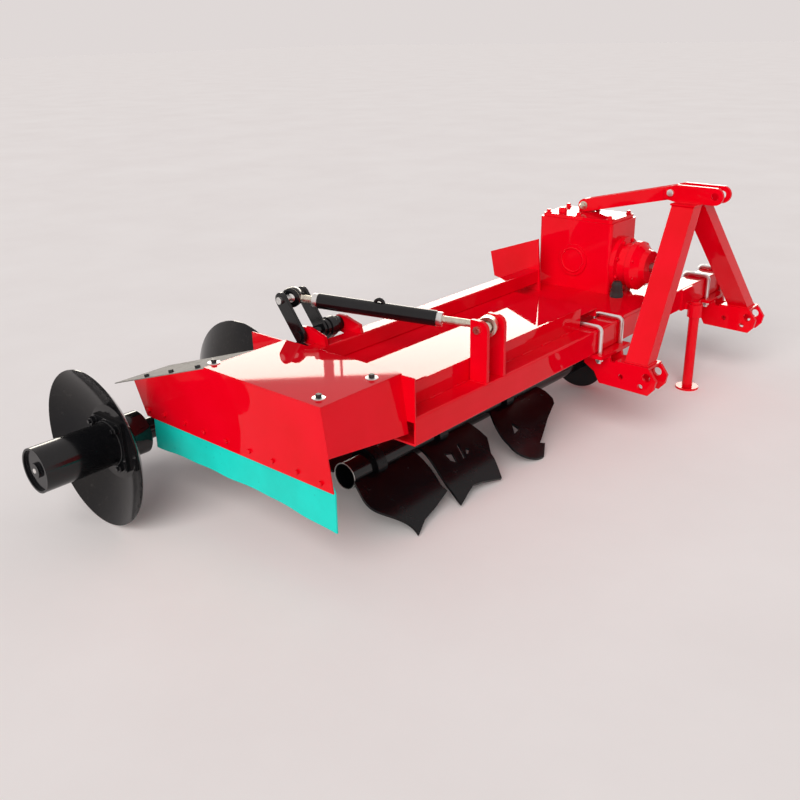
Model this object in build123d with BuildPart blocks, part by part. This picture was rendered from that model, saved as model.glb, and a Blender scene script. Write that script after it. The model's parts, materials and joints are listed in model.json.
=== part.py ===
# Paddy ridging machine, a three-point implement that stands on its share tips,
# its disc roller and its parking stand.
# Millimetres. X points forward to the tractor, Y to the left, Z up, ground at Z 0.
from build123d import *
from math import atan2, cos, degrees, hypot, radians, sin, sqrt
import os

os.makedirs("parts", exist_ok=True)

# General clearances
FIT = 0.3                 # radial play of a shaft, pin or sleeve
PLATE = 4.0               # sheet and guard plates

# Front beam, whose front face is local X 0, and the hitch, whose middle is local Y 0
BEAM_SIDE = 80.0
BEAM_WALL = 6.0
BEAM_BOTTOM = 313.0
BEAM_TOP = BEAM_BOTTOM + BEAM_SIDE
BEAM_RIGHT = -1407.0
BEAM_LEFT = 510.0

# Rear tube, hood and side plate
REAR_SIDE = 50.0
REAR_WALL = 4.0
REAR_FRONT = -402.0
REAR_BACK = REAR_FRONT - REAR_SIDE
HOOD_TOP = 432.0
HOOD_SHEET = 3.0
HOOD_LEFT = -388.0
STEP_THICK = 6.0
SIDE_PLATE_RIGHT = -232.0
SIDE_PLATE_THICK = 8.0
SIDE_PLATE_LEFT = SIDE_PLATE_RIGHT + SIDE_PLATE_THICK
SIDE_PLATE_TOP = 596.0
SIDE_PLATE_BACK = -618.0
SIDE_PLATE_BACK_TOP = 523.0
SIDE_PLATE_BACK_LOW = 431.0
SKIRT_THICK = 8.0
SKIRT_FRONT = -60.0
SKIRT_HEIGHT = 66.0
SKIRT_LEFT = -500.0
APRON_DROP = 168.0
APRON_BACK = 186.0
APRON_RIGHT = -1290.0

# Rotor
ROTOR_X = -292.0
ROTOR_Z = 125.0
ROTOR_TUBE_RADIUS = 42.0
ROTOR_TUBE_WALL = 5.0
ROTOR_RIGHT = -1385.0
SHARE_REACH = 274.0
SHARE_BULGE = 28.0
SHARE_THICK = 8.0
SHARE_RING_RADIUS = 56.0
SHARE_RING_WIDTH = 40.0
# Seen along the rotor, a share is an arc over its chord from the rotor's axis to its tip
SHARE_ARC = (SHARE_REACH**2 / 4 + SHARE_BULGE**2) / (2 * SHARE_BULGE)
ARC_DROP = SHARE_ARC - SHARE_BULGE
TIP_UNDER = sqrt((SHARE_ARC - SHARE_THICK / 2) ** 2 - SHARE_REACH**2 / 4) - ARC_DROP
TIP_OVER = sqrt((SHARE_ARC + SHARE_THICK / 2) ** 2 - SHARE_REACH**2 / 4) - ARC_DROP
# Turned down from level until the lower edges of the tips meet the ground
TIP_REACH = hypot(SHARE_REACH, TIP_UNDER)
REST_ANGLE = degrees(atan2(ROTOR_Z, sqrt(TIP_REACH**2 - ROTOR_Z**2)) + atan2(TIP_UNDER, SHARE_REACH))

# Chain case, gearbox and input shaft
CASE_RADIUS = 112.0
CASE_RIGHT = -92.0
CASE_LEFT = -32.0
CAP_RADIUS = 115.0
CAP_THICK = 8.0
STUB_RADIUS = 25.0
STUB_GRIP = 18.0
ROTOR_LEFT = CASE_RIGHT - CAP_THICK - 6
BASE_THICK = 10.0
BASE_TOP = BEAM_TOP + BASE_THICK
BASE_LEFT = 75.0
GEARBOX_BACK = -470.0
GEARBOX_FRONT = -170.0
GEARBOX_RIGHT = -125.0
GEARBOX_LEFT = 60.0
GEARBOX_TOP = 658.0
LID_THICK = 12.0
INPUT_Y = -32.0
INPUT_Z = 503.0
INPUT_RADIUS = 98.0
INPUT_FRONT = -52.0
SHAFT_RADIUS = 17.5
SHAFT_END = 30.0

# Hitch brackets, one each side of the middle
HITCH_SPREAD = 825.0
BRACKET_GAP = 68.0
BRACKET_PLATE = 12.0
BRACKET_FRONT = 202.0
BRACKET_TOP = 284.0
LOWER_PIN_X = 168.0
LOWER_PIN_Z = 257.0
LOWER_PIN_BORE = 28.7
FLANGE_THICK = 12.0
FLANGE_HALF = 95.0
FLANGE_BACK = -112.0
FLANGE_FRONT = 32.0
U_BOLT_RADIUS = 8.0
U_BOLT_HALF = 68.5
U_BOLT_END = 280.0
U_BOLT_NOTCH = 18.0
FOOT_PLATE = 7.0

# Mast
HEAD_PLATE = 10.0
HEAD_GAP = 52.0
HEAD_BOTTOM = 745.0
HEAD_HEIGHT = 58.0
HEAD_BACK = -26.0
TOP_PIN_X = 155.0
TOP_PIN_BORE = 25.7
LEG_DEPTH = 80.0
LEG_WIDTH = 64.0
LEG_WALL = 5.0
LEG_FOOT_X = 122.0
LEG_TOP_X = 62.0
LEG_TOP_Y = 40.0
BRACE_THICK = 8.0
BRACE_WIDTH = 46.0
BRACE_BACK_X = -345.0
BRACE_BACK_Z = 694.0

# Right-hand guide box
GUIDE_OUTER = -1695.0
GUIDE_INNER = BEAM_RIGHT - PLATE
GUIDE_TOP = 504.0
GUIDE_FRONT = -44.0
GUIDE_FRONT_LOW = -12.0
GUIDE_BEND_X = -482.0
GUIDE_TIP_X = -830.0
GUIDE_TIP_Z = 388.0
GUIDE_LOW = 289.0
GUIDE_LIP = 2.0
GUIDE_INNER_BACK = -625.0
FRONT_PLATE_OUTER_LOW = 380.0
FRONT_PLATE_INNER_LOW = 346.0
FLAP_THICK = 5.0
FLAP_TOP = 345.0
FLAP_LOW = 180.0
FLAP_FRONT = -14.0
FLAP_GAP = 20.0           # between the flap's end and the roller's axle

# Lugs, turnbuckle and swing frame
LUG_THICK = 12.0
LUG_BACK = -58.0
LUG_CORNER = 26.0
LINK_X = -33.0
LINK_Y = -1055.0
LINK_Z = 546.0
LINK_GAP = 68.0
LINK_PIN_RADIUS = 11.0
BALL_RADIUS = 19.0
EYE_RADIUS = 29.0
EYE_WIDTH = 26.0
EYE_PLAY = 2.5
PIVOT_X = -492.0
PIVOT_Z = 500.0
PIVOT_RADIUS = 14.0
PIVOT_LUG_RIGHT = -1328.0
PIVOT_LUG_LEFT = -1170.0
CRANK_X = -563.0
CRANK_Z = 595.0
LEVER_THICK = 10.0
LEVER_WIDTH = 45.0
LEVER_RIGHT = -1346.0
LEVER_LEFT = -1252.0
ROD_RADIUS = 10.5
BARREL_RADIUS = 22.5
BARREL_START = 146.0
BARREL_END = 503.0
NUT_THICK = 16.0
NUT_RADIUS = 18.0
ROD_GRIP = 60.0
ARM_RIGHT = LEVER_LEFT + 2
ARM_LEFT = PIVOT_LUG_LEFT - LUG_THICK - 14
ARM_WIDTH = 60.0

# Forming roller
ROLLER_X = -810.0
ROLLER_Z = 237.0
AXLE_RADIUS = 32.0
DRUM_RADIUS = 65.0
DRUM_RIGHT = -2042.0
DRUM_LEFT = -1712.0
DISC_THICK = 4.0
DISC_FLAT = 112.0
RIGHT_DISC_RADIUS = 233.0
RIGHT_DISC_RIM = -1862.0
RIGHT_DISC_FACE = -1782.0
LEFT_DISC_RADIUS = ROLLER_Z
LEFT_DISC_RIM = -1313.0
LEFT_DISC_FACE = -1389.0
BEARING_RADIUS = 60.0
FLAP_BACK = ROLLER_X + AXLE_RADIUS + FLAP_GAP

# Parking stand
STAND_X = 42.0
STAND_Y = 168.0
STAND_RADIUS = 19.0
STAND_WALL = 3.0
STAND_TOP = 348.0
FOOT_RADIUS = 43.0
FOOT_THICK = 8.0
SLEEVE_RADIUS = 27.0
SLEEVE_BOTTOM = 288.0
SLEEVE_TOP = 338.0

# The frame's origin is on the ground under the middle of the whole machine
FRONT_REACH = BRACKET_FRONT
BACK_REACH = ROLLER_X - LEFT_DISC_RADIUS
DATUM_X = -(FRONT_REACH + BACK_REACH) / 2
DATUM_Y = -(BEAM_LEFT + DRUM_RIGHT) / 2


def side_plane(y):
    """Sketch plane across the machine's length at local Y, X forward and Y up, facing right."""
    return Plane(origin=(DATUM_X, DATUM_Y + y, 0), x_dir=(1, 0, 0), z_dir=(0, -1, 0))


def front_plane(x):
    """Sketch plane across the machine's width at local X, X to the left and Y up, facing forward."""
    return Plane(origin=(DATUM_X + x, DATUM_Y, 0), x_dir=(0, 1, 0), z_dir=(1, 0, 0))


def level(z):
    """Horizontal sketch plane at height Z."""
    return Plane(origin=(DATUM_X, DATUM_Y, z))


def link_plane(distance):
    """Sketch plane square to the turnbuckle, this far behind its front eye."""
    along = Vector(*LINK_DIRECTION)
    start = Vector(DATUM_X + LINK_X, DATUM_Y + LINK_Y, LINK_Z)
    return Plane(origin=start + along * distance, z_dir=LINK_DIRECTION)


def eye_plane(distance, offset):
    """Sketch plane of an eye's end face, whose axis is level and square to the turnbuckle."""
    across = Vector(-LINK_DIRECTION[1], LINK_DIRECTION[0], 0).normalized()
    start = Vector(DATUM_X + LINK_X, DATUM_Y + LINK_Y, LINK_Z)
    centre = start + Vector(*LINK_DIRECTION) * distance
    return Plane(origin=centre + across * offset, z_dir=(across.X, across.Y, across.Z))


def dish_depth(radius, sphere):
    """How far a sphere's surface falls behind its top at this radius."""
    return sphere - sqrt(sphere**2 - radius**2)


# Turnbuckle line, from the lugs on the front beam to the crank of the swing frame
CRANK_Y = (LEVER_RIGHT + LEVER_THICK + LEVER_LEFT - LEVER_THICK) / 2
LINK_LENGTH = sqrt((CRANK_X - LINK_X)**2 + (CRANK_Y - LINK_Y)**2 + (CRANK_Z - LINK_Z)**2)
LINK_DIRECTION = (
    (CRANK_X - LINK_X) / LINK_LENGTH,
    (CRANK_Y - LINK_Y) / LINK_LENGTH,
    (CRANK_Z - LINK_Z) / LINK_LENGTH,
)

# Front beam, a square tube with open ends
with BuildPart() as front_beam:
    with BuildSketch(side_plane(BEAM_LEFT)):
        with Locations((-BEAM_SIDE / 2, BEAM_BOTTOM + BEAM_SIDE / 2)):
            RectangleRounded(BEAM_SIDE, BEAM_SIDE, BEAM_WALL)
            Rectangle(BEAM_SIDE - 2 * BEAM_WALL, BEAM_SIDE - 2 * BEAM_WALL, mode=Mode.SUBTRACT)
    extrude(amount=BEAM_LEFT - BEAM_RIGHT)
front_beam.part.label = "front_beam"
export_step(front_beam.part, "parts/front_beam.step")

# Upright plate along the beam's top, in front of the hood
with BuildPart() as skirt_plate:
    with BuildSketch(side_plane(SKIRT_LEFT)):
        with Locations((SKIRT_FRONT, BEAM_TOP)):
            Rectangle(SKIRT_THICK, SKIRT_HEIGHT, align=(Align.MAX, Align.MIN))
    extrude(amount=SKIRT_LEFT - BEAM_RIGHT)
skirt_plate.part.label = "skirt_plate"
export_step(skirt_plate.part, "parts/skirt_plate.step")

# Rear tube, from the guide box to the side plate
with BuildPart() as rear_beam:
    with BuildSketch(side_plane(SIDE_PLATE_RIGHT)):
        with Locations(((REAR_FRONT + REAR_BACK) / 2, HOOD_TOP + REAR_SIDE / 2)):
            RectangleRounded(REAR_SIDE, REAR_SIDE, REAR_WALL)
            Rectangle(REAR_SIDE - 2 * REAR_WALL, REAR_SIDE - 2 * REAR_WALL, mode=Mode.SUBTRACT)
    extrude(amount=SIDE_PLATE_RIGHT - BEAM_RIGHT)
rear_beam.part.label = "rear_beam"
export_step(rear_beam.part, "parts/rear_beam.step")

# Hood over the rotor, from the skirt plate to under the rear tube
SKIRT_BACK = SKIRT_FRONT - SKIRT_THICK
with BuildPart() as hood_sheet:
    with BuildSketch(level(HOOD_TOP - HOOD_SHEET)):
        with Locations((SKIRT_BACK, HOOD_LEFT)):
            Rectangle(SKIRT_BACK - REAR_BACK, HOOD_LEFT - BEAM_RIGHT, align=(Align.MAX, Align.MAX))
    extrude(amount=HOOD_SHEET)
hood_sheet.part.label = "hood_sheet"
export_step(hood_sheet.part, "parts/hood_sheet.step")

# Sloping apron behind the rotor
with BuildPart() as rear_apron:
    with BuildSketch(side_plane(HOOD_LEFT)):
        with BuildLine():
            Polyline(
                (REAR_BACK, HOOD_TOP),
                (REAR_BACK - APRON_BACK, HOOD_TOP - APRON_DROP),
                (REAR_BACK - APRON_BACK, HOOD_TOP - APRON_DROP - PLATE),
                (REAR_BACK, HOOD_TOP - PLATE),
                close=True,
            )
        make_face()
    extrude(amount=HOOD_LEFT - APRON_RIGHT)
rear_apron.part.label = "rear_apron"
export_step(rear_apron.part, "parts/rear_apron.step")

# Step plate that closes the hood's left end down to the saddle plate
with BuildPart() as hood_step:
    with BuildSketch(side_plane(HOOD_LEFT + STEP_THICK)):
        with Locations((SKIRT_BACK, BASE_TOP)):
            Rectangle(SKIRT_BACK - REAR_BACK, HOOD_TOP - BASE_TOP, align=(Align.MAX, Align.MIN))
    extrude(amount=STEP_THICK)
hood_step.part.label = "hood_step"
export_step(hood_step.part, "parts/hood_step.step")

# Saddle plate that carries the gearbox, on top of the front beam, with a notch round a U-bolt
NOTCH_LEFT = -HITCH_SPREAD / 2 + U_BOLT_HALF + U_BOLT_RADIUS + U_BOLT_NOTCH
NOTCH_BACK = BEAM_SIDE + 2 * (U_BOLT_RADIUS + FIT) + 4
with BuildPart() as saddle_plate:
    with BuildSketch(level(BEAM_TOP)):
        with Locations((0, BASE_LEFT)):
            Rectangle(-GEARBOX_BACK, BASE_LEFT - HOOD_LEFT, align=(Align.MAX, Align.MAX))
        with Locations((0, HOOD_LEFT)):
            Rectangle(NOTCH_BACK, NOTCH_LEFT - HOOD_LEFT, align=(Align.MAX, Align.MIN), mode=Mode.SUBTRACT)
    extrude(amount=BASE_THICK)
saddle_plate.part.label = "saddle_plate"
export_step(saddle_plate.part, "parts/saddle_plate.step")

# Upright side plate between hood and gearbox, which ends the rear tube
with BuildPart() as side_plate:
    with BuildSketch(side_plane(SIDE_PLATE_LEFT)):
        with BuildLine():
            Polyline(
                (GEARBOX_BACK, BASE_TOP),
                (REAR_FRONT + 10, BASE_TOP),
                (REAR_FRONT - 6, SIDE_PLATE_TOP),
                (SIDE_PLATE_BACK, SIDE_PLATE_BACK_TOP),
                (SIDE_PLATE_BACK + 19, SIDE_PLATE_BACK_LOW),
                close=True,
            )
        make_face()
    extrude(amount=SIDE_PLATE_THICK)
side_plate.part.label = "side_plate"
export_step(side_plate.part, "parts/side_plate.step")

# Guide box at the right end: inner and outer panels, and a front plate that leans back
FRONT_SLOPE = (GUIDE_FRONT_LOW - GUIDE_FRONT) / (GUIDE_TOP - GUIDE_LOW)
HOOD_UNDER = HOOD_TOP - PLATE
PANEL_LOW = BEAM_TOP - 12
with BuildPart() as guide_inner_panel:
    with BuildSketch(side_plane(BEAM_RIGHT)):
        with BuildLine():
            Polyline(
                (GUIDE_LIP, PANEL_LOW),
                (GUIDE_LIP, GUIDE_TOP),
                (GUIDE_INNER_BACK, GUIDE_TOP),
                (GUIDE_INNER_BACK, HOOD_UNDER + 14),
                (REAR_BACK - 18, HOOD_UNDER),
                (-BEAM_SIDE, HOOD_UNDER),
                (-BEAM_SIDE, PANEL_LOW),
                close=True,
            )
        make_face()
    extrude(amount=PLATE)
guide_inner_panel.part.label = "guide_inner_panel"
export_step(guide_inner_panel.part, "parts/guide_inner_panel.step")

with BuildPart() as guide_outer_panel:
    with BuildSketch(side_plane(GUIDE_OUTER + PLATE)):
        with BuildLine():
            Polyline(
                (GUIDE_FRONT_LOW - PLATE, GUIDE_LOW),
                (GUIDE_FRONT - PLATE, GUIDE_TOP),
                (GUIDE_BEND_X, GUIDE_TOP),
                (GUIDE_TIP_X, GUIDE_TIP_Z),
                (FLAP_BACK - 27, GUIDE_LOW),
                close=True,
            )
        make_face()
    extrude(amount=PLATE)
guide_outer_panel.part.label = "guide_outer_panel"
export_step(guide_outer_panel.part, "parts/guide_outer_panel.step")

FRONT_PLATE_FOOT = GUIDE_FRONT + FRONT_SLOPE * (GUIDE_TOP - FRONT_PLATE_INNER_LOW)
with BuildPart() as guide_front_plate:
    with BuildSketch(side_plane(GUIDE_INNER)):
        with BuildLine():
            Polyline(
                (FRONT_PLATE_FOOT, FRONT_PLATE_INNER_LOW),
                (GUIDE_FRONT, GUIDE_TOP),
                (GUIDE_FRONT - PLATE, GUIDE_TOP),
                (FRONT_PLATE_FOOT - PLATE, FRONT_PLATE_INNER_LOW),
                close=True,
            )
        make_face()
    extrude(amount=GUIDE_INNER - GUIDE_OUTER)
    with BuildSketch(front_plane(GUIDE_FRONT_LOW)):
        with BuildLine():
            Polyline(
                (GUIDE_INNER, FRONT_PLATE_INNER_LOW),
                (GUIDE_OUTER - PLATE, FRONT_PLATE_OUTER_LOW),
                (GUIDE_OUTER - PLATE, FRONT_PLATE_INNER_LOW - PLATE),
                (GUIDE_INNER, FRONT_PLATE_INNER_LOW - PLATE),
                close=True,
            )
        make_face()
    extrude(amount=GUIDE_FRONT - PLATE - GUIDE_FRONT_LOW, mode=Mode.SUBTRACT)
guide_front_plate.part.label = "guide_front_plate"
export_step(guide_front_plate.part, "parts/guide_front_plate.step")

with BuildPart() as guide_top_plate:
    with BuildSketch(level(GUIDE_TOP)):
        with Locations((GUIDE_FRONT, BEAM_RIGHT)):
            Rectangle(GUIDE_FRONT - GUIDE_BEND_X, BEAM_RIGHT - GUIDE_OUTER, align=(Align.MAX, Align.MAX))
    extrude(amount=PLATE)
guide_top_plate.part.label = "guide_top_plate"
export_step(guide_top_plate.part, "parts/guide_top_plate.step")

# Thin sloping sheet behind the box, on the outer panel's sloping edge
SHEET_END_X = -940.0
SHEET_SLOPE = (GUIDE_TOP - GUIDE_TIP_Z) / (GUIDE_BEND_X - GUIDE_TIP_X)
SHEET_THICK = 2.5
SHEET_END_Z = GUIDE_TOP + (SHEET_END_X - GUIDE_BEND_X) * SHEET_SLOPE
SHEET_LEFT = -1500.0
with BuildPart() as guide_rear_sheet:
    with BuildSketch(side_plane(SHEET_LEFT)):
        with BuildLine():
            Polyline(
                (GUIDE_BEND_X, GUIDE_TOP),
                (GUIDE_BEND_X, GUIDE_TOP + SHEET_THICK),
                (SHEET_END_X, SHEET_END_Z + SHEET_THICK),
                (SHEET_END_X, SHEET_END_Z),
                close=True,
            )
        make_face()
    extrude(amount=SHEET_LEFT - GUIDE_OUTER)
guide_rear_sheet.part.label = "guide_rear_sheet"
export_step(guide_rear_sheet.part, "parts/guide_rear_sheet.step")

# Rubber flap inside the outer panel's lower edge, which rises a little towards the back
FLAP_EDGE = [
    # share of the flap's length from its front end, rise of its lower edge
    (0.0, 0),
    (0.18, 9),
    (0.39, 20),
    (0.62, 21),
    (0.86, 17),
    (1.0, 15),
]
FLAP_LENGTH = FLAP_FRONT - FLAP_BACK
with BuildPart() as guide_flap:
    with BuildSketch(side_plane(GUIDE_OUTER + PLATE + FLAP_THICK)):
        with BuildLine():
            Polyline(
                (FLAP_BACK, FLAP_TOP),
                (GUIDE_FRONT + PLATE, FLAP_TOP),
                (FLAP_FRONT, GUIDE_LOW),
                *[(FLAP_FRONT - share * FLAP_LENGTH, FLAP_LOW + rise) for share, rise in FLAP_EDGE],
                close=True,
            )
        make_face()
    extrude(amount=FLAP_THICK)
guide_flap.part.label = "guide_flap"
export_step(guide_flap.part, "parts/guide_flap.step")

# Chain case from the saddle plate down to the rotor
with BuildPart() as chain_case:
    with BuildSketch(side_plane(CASE_LEFT)):
        with Locations((ROTOR_X, ROTOR_Z)):
            Circle(CASE_RADIUS)
            Rectangle(2 * CASE_RADIUS, BEAM_TOP - ROTOR_Z, align=(Align.CENTER, Align.MIN))
    extrude(amount=CASE_LEFT - CASE_RIGHT)
    with BuildSketch(side_plane(CASE_RIGHT)):
        with Locations((ROTOR_X, ROTOR_Z)):
            Circle(STUB_RADIUS + FIT)
    extrude(amount=-STUB_GRIP - 2, mode=Mode.SUBTRACT)
chain_case.part.label = "chain_case"
export_step(chain_case.part, "parts/chain_case.step")

with BuildPart() as bearing_cap:
    with BuildSketch(side_plane(CASE_RIGHT)):
        with Locations((ROTOR_X, ROTOR_Z)):
            Circle(CAP_RADIUS)
            Circle(STUB_RADIUS + FIT, mode=Mode.SUBTRACT)
    extrude(amount=CAP_THICK)
bearing_cap.part.label = "bearing_cap"
export_step(bearing_cap.part, "parts/bearing_cap.step")

# Gearbox with its lid, input housing and input shaft
GEARBOX_CENTRE_X = (GEARBOX_BACK + GEARBOX_FRONT) / 2
GEARBOX_CENTRE_Y = (GEARBOX_RIGHT + GEARBOX_LEFT) / 2
GEARBOX_CORNER = 12.0
BOSS_RADIUS = 58.0
BOSS_THICK = 6.0
with BuildPart() as gearbox_case:
    with BuildSketch(level(BASE_TOP)):
        with Locations((GEARBOX_CENTRE_X, GEARBOX_CENTRE_Y)):
            RectangleRounded(GEARBOX_FRONT - GEARBOX_BACK, GEARBOX_LEFT - GEARBOX_RIGHT, GEARBOX_CORNER)
    extrude(amount=GEARBOX_TOP - BASE_TOP)
    with BuildSketch(side_plane(GEARBOX_RIGHT)):
        with Locations((GEARBOX_CENTRE_X, INPUT_Z + 9)):
            Circle(BOSS_RADIUS)
    extrude(amount=BOSS_THICK)
gearbox_case.part.label = "gearbox_case"
export_step(gearbox_case.part, "parts/gearbox_case.step")

LID_INSET = 7.0
LUG_RADIUS = 24.0
with BuildPart() as gearbox_lid:
    with BuildSketch(level(GEARBOX_TOP)):
        with Locations((GEARBOX_CENTRE_X, GEARBOX_CENTRE_Y)):
            RectangleRounded(
                GEARBOX_FRONT - GEARBOX_BACK - 2 * LID_INSET,
                GEARBOX_LEFT - GEARBOX_RIGHT - 2 * LID_INSET,
                GEARBOX_CORNER,
            )
    extrude(amount=LID_THICK)
    with BuildSketch(side_plane(HEAD_GAP / 2 - BRACE_THICK)):
        with Locations((BRACE_BACK_X, BRACE_BACK_Z)):
            Circle(LUG_RADIUS)
        with Locations((BRACE_BACK_X, GEARBOX_TOP + LID_THICK)):
            Rectangle(
                2 * LUG_RADIUS, BRACE_BACK_Z - GEARBOX_TOP - LID_THICK, align=(Align.CENTER, Align.MIN)
            )
        with Locations((BRACE_BACK_X, GEARBOX_TOP)):
            Rectangle(4 * LUG_RADIUS, LID_THICK, align=(Align.CENTER, Align.MIN))
            Rectangle(4 * LUG_RADIUS, LID_THICK, align=(Align.CENTER, Align.MAX), mode=Mode.SUBTRACT)
    extrude(amount=HEAD_GAP - 2 * BRACE_THICK)
gearbox_lid.part.label = "gearbox_lid"
export_step(gearbox_lid.part, "parts/gearbox_lid.step")

INPUT_AXIS = Axis((DATUM_X, DATUM_Y + INPUT_Y, INPUT_Z), (1, 0, 0))
INPUT_PLANE = Plane(
    origin=(DATUM_X, DATUM_Y + INPUT_Y, INPUT_Z), x_dir=(1, 0, 0), z_dir=(0, -1, 0)
)
SHAFT_BACK = INPUT_FRONT - 50
with BuildPart() as input_housing:
    with BuildSketch(INPUT_PLANE):
        with BuildLine():
            Polyline(
                (GEARBOX_FRONT, 0),
                (GEARBOX_FRONT, INPUT_RADIUS),
                (GEARBOX_FRONT + 18, INPUT_RADIUS),
                (GEARBOX_FRONT + 22, INPUT_RADIUS - 20),
                (GEARBOX_FRONT + 52, INPUT_RADIUS - 24),
                (GEARBOX_FRONT + 56, INPUT_RADIUS - 10),
                (GEARBOX_FRONT + 76, INPUT_RADIUS - 10),
                (INPUT_FRONT - 18, INPUT_RADIUS - 34),
                (INPUT_FRONT, INPUT_RADIUS - 40),
                (INPUT_FRONT, SHAFT_RADIUS + FIT),
                (SHAFT_BACK - 1, SHAFT_RADIUS + FIT),
                (SHAFT_BACK - 1, 0),
                close=True,
            )
        make_face()
    revolve(axis=INPUT_AXIS)
input_housing.part.label = "input_housing"
export_step(input_housing.part, "parts/input_housing.step")

SPLINE_DEPTH = 2.5
SPLINE_WIDTH = 8.7
SPLINE_LENGTH = 60.0
with BuildPart() as input_shaft:
    with BuildSketch(front_plane(SHAFT_BACK)):
        with Locations((INPUT_Y, INPUT_Z)):
            Circle(SHAFT_RADIUS)
    extrude(amount=SHAFT_END - SHAFT_BACK)
    with BuildSketch(front_plane(SHAFT_END)):
        with Locations((INPUT_Y, INPUT_Z)):
            with PolarLocations(SHAFT_RADIUS, 6):
                Rectangle(2 * SPLINE_DEPTH, SPLINE_WIDTH)
    extrude(amount=-SPLINE_LENGTH, mode=Mode.SUBTRACT)
input_shaft.part.label = "input_shaft"
export_step(input_shaft.part, "parts/input_shaft.step")

# Rotor tube with the stub that runs in the chain case
with BuildPart() as rotor_tube:
    with BuildSketch(side_plane(ROTOR_LEFT)):
        with Locations((ROTOR_X, ROTOR_Z)):
            Circle(ROTOR_TUBE_RADIUS)
    extrude(amount=ROTOR_LEFT - ROTOR_RIGHT)
    with BuildSketch(side_plane(ROTOR_LEFT - ROTOR_TUBE_WALL)):
        with Locations((ROTOR_X, ROTOR_Z)):
            Circle(ROTOR_TUBE_RADIUS - ROTOR_TUBE_WALL)
    extrude(amount=ROTOR_LEFT - ROTOR_RIGHT, mode=Mode.SUBTRACT)
    with BuildSketch(side_plane(CASE_RIGHT + STUB_GRIP)):
        with Locations((ROTOR_X, ROTOR_Z)):
            Circle(STUB_RADIUS)
    extrude(amount=CASE_RIGHT + STUB_GRIP - ROTOR_LEFT)
rotor_tube.part.label = "rotor_tube"
export_step(rotor_tube.part, "parts/rotor_tube.step")

# Digging shares, wide curved plates in pairs on a ring. Each outline is seen square to the
# share's chord, from the rotor's axis: distance out, and place along Y from the first tip.
SHARE_ROOT = ROTOR_TUBE_RADIUS + FIT
SHARE_START = 30.0
RIGHT_SHARE = {
    "heel": [(SHARE_START, -38), (91, -69), (140, -80), (191, -47), (SHARE_REACH, 0)],
    "toe": [(SHARE_REACH, 0), (247, 53), (236, 107), (212, 187)],
    "back": [(212, 187), (190, 181), (124, 200), (60, 214), (SHARE_START, 214)],
    "holes": [],
}
MIDDLE_SHARE = {
    "heel": [(SHARE_START, 46), (124, 16), (200, -4), (SHARE_REACH - 8, 0)],
    "toe": [(SHARE_REACH - 8, 0), (247, 52), (236, 86), (242, 128), (252, 168), (SHARE_REACH - 12, 206)],
    "back": [(SHARE_REACH - 12, 206), (200, 232), (180, 236), (126, 280), (SHARE_START, 290)],
    "holes": [
        [(96, 155), (96, 165), (151, 137), (150, 127)],
        [(121, 171), (131, 180), (144, 160), (141, 153)],
        [(104, 86), (114, 113), (152, 95), (135, 80)],
    ],
}
LEFT_SHARE = {
    "heel": [(SHARE_START, -12), (121, -86), (164, -101), (214, -98), (250, -67), (SHARE_REACH, 0)],
    "toe": [(SHARE_REACH, 0), (240, 44), (231, 24), (222, 44)],
    "back": [(222, 44), (171, 146), (136, 232), (117, 250), (76, 262), (SHARE_START, 262)],
    "holes": [[(122, -11), (155, -7), (162, -44)]],
}
SHARES = [
    # node, first tip's Y, outline, ring's middle from the tip
    ("rotor_share_right", -1348.0, RIGHT_SHARE, 68.0),
    ("rotor_share_middle", -1144.0, MIDDLE_SHARE, 150.0),
    ("rotor_share_left", -712.0, LEFT_SHARE, 80.0),
]
for node, tip, outline, ring in SHARES:
    with BuildPart() as share:
        for turn in (0, 180):
            angle = radians(turn - REST_ANGLE)
            outward = (cos(angle), 0, sin(angle))
            across = [place for _, place in outline["heel"] + outline["back"]]
            profile_plane = Plane(
                origin=(DATUM_X + ROTOR_X, DATUM_Y + tip + max(across), ROTOR_Z),
                x_dir=outward,
                z_dir=(0, -1, 0),
            )
            outline_plane = Plane(
                origin=(DATUM_X + ROTOR_X, DATUM_Y + tip, ROTOR_Z),
                x_dir=outward,
                z_dir=(-sin(angle), 0, cos(angle)),
            )
            with BuildPart(mode=Mode.PRIVATE) as blade:
                with BuildSketch(profile_plane):
                    with BuildLine():
                        ThreePointArc(
                            (0, TIP_UNDER),
                            (SHARE_REACH / 2, SHARE_BULGE - SHARE_THICK / 2),
                            (SHARE_REACH, TIP_UNDER),
                        )
                        Line((SHARE_REACH, TIP_UNDER), (SHARE_REACH, TIP_OVER))
                        ThreePointArc(
                            (SHARE_REACH, TIP_OVER),
                            (SHARE_REACH / 2, SHARE_BULGE + SHARE_THICK / 2),
                            (0, TIP_OVER),
                        )
                        Line((0, TIP_OVER), (0, TIP_UNDER))
                    make_face()
                extrude(amount=max(across) - min(across))
                with BuildSketch(outline_plane):
                    with BuildLine():
                        Spline(*outline["heel"])
                        Polyline(*outline["toe"])
                        Polyline(*outline["back"])
                        Line(outline["back"][-1], outline["heel"][0])
                    make_face()
                    for hole in outline["holes"]:
                        with BuildLine():
                            Polyline(*hole, close=True)
                        make_face(mode=Mode.SUBTRACT)
                extrude(amount=SHARE_BULGE + SHARE_THICK, both=True, mode=Mode.INTERSECT)
            add(blade.part)
        with BuildSketch(side_plane(tip + ring + SHARE_RING_WIDTH / 2)):
            with Locations((ROTOR_X, ROTOR_Z)):
                Circle(SHARE_RING_RADIUS)
        extrude(amount=SHARE_RING_WIDTH)
        with BuildSketch(side_plane(ROTOR_LEFT)):
            with Locations((ROTOR_X, ROTOR_Z)):
                Circle(SHARE_ROOT)
        extrude(amount=ROTOR_LEFT - ROTOR_RIGHT + SHARE_REACH, mode=Mode.SUBTRACT)
    share.part.label = node
    export_step(share.part, f"parts/{node}.step")

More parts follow.
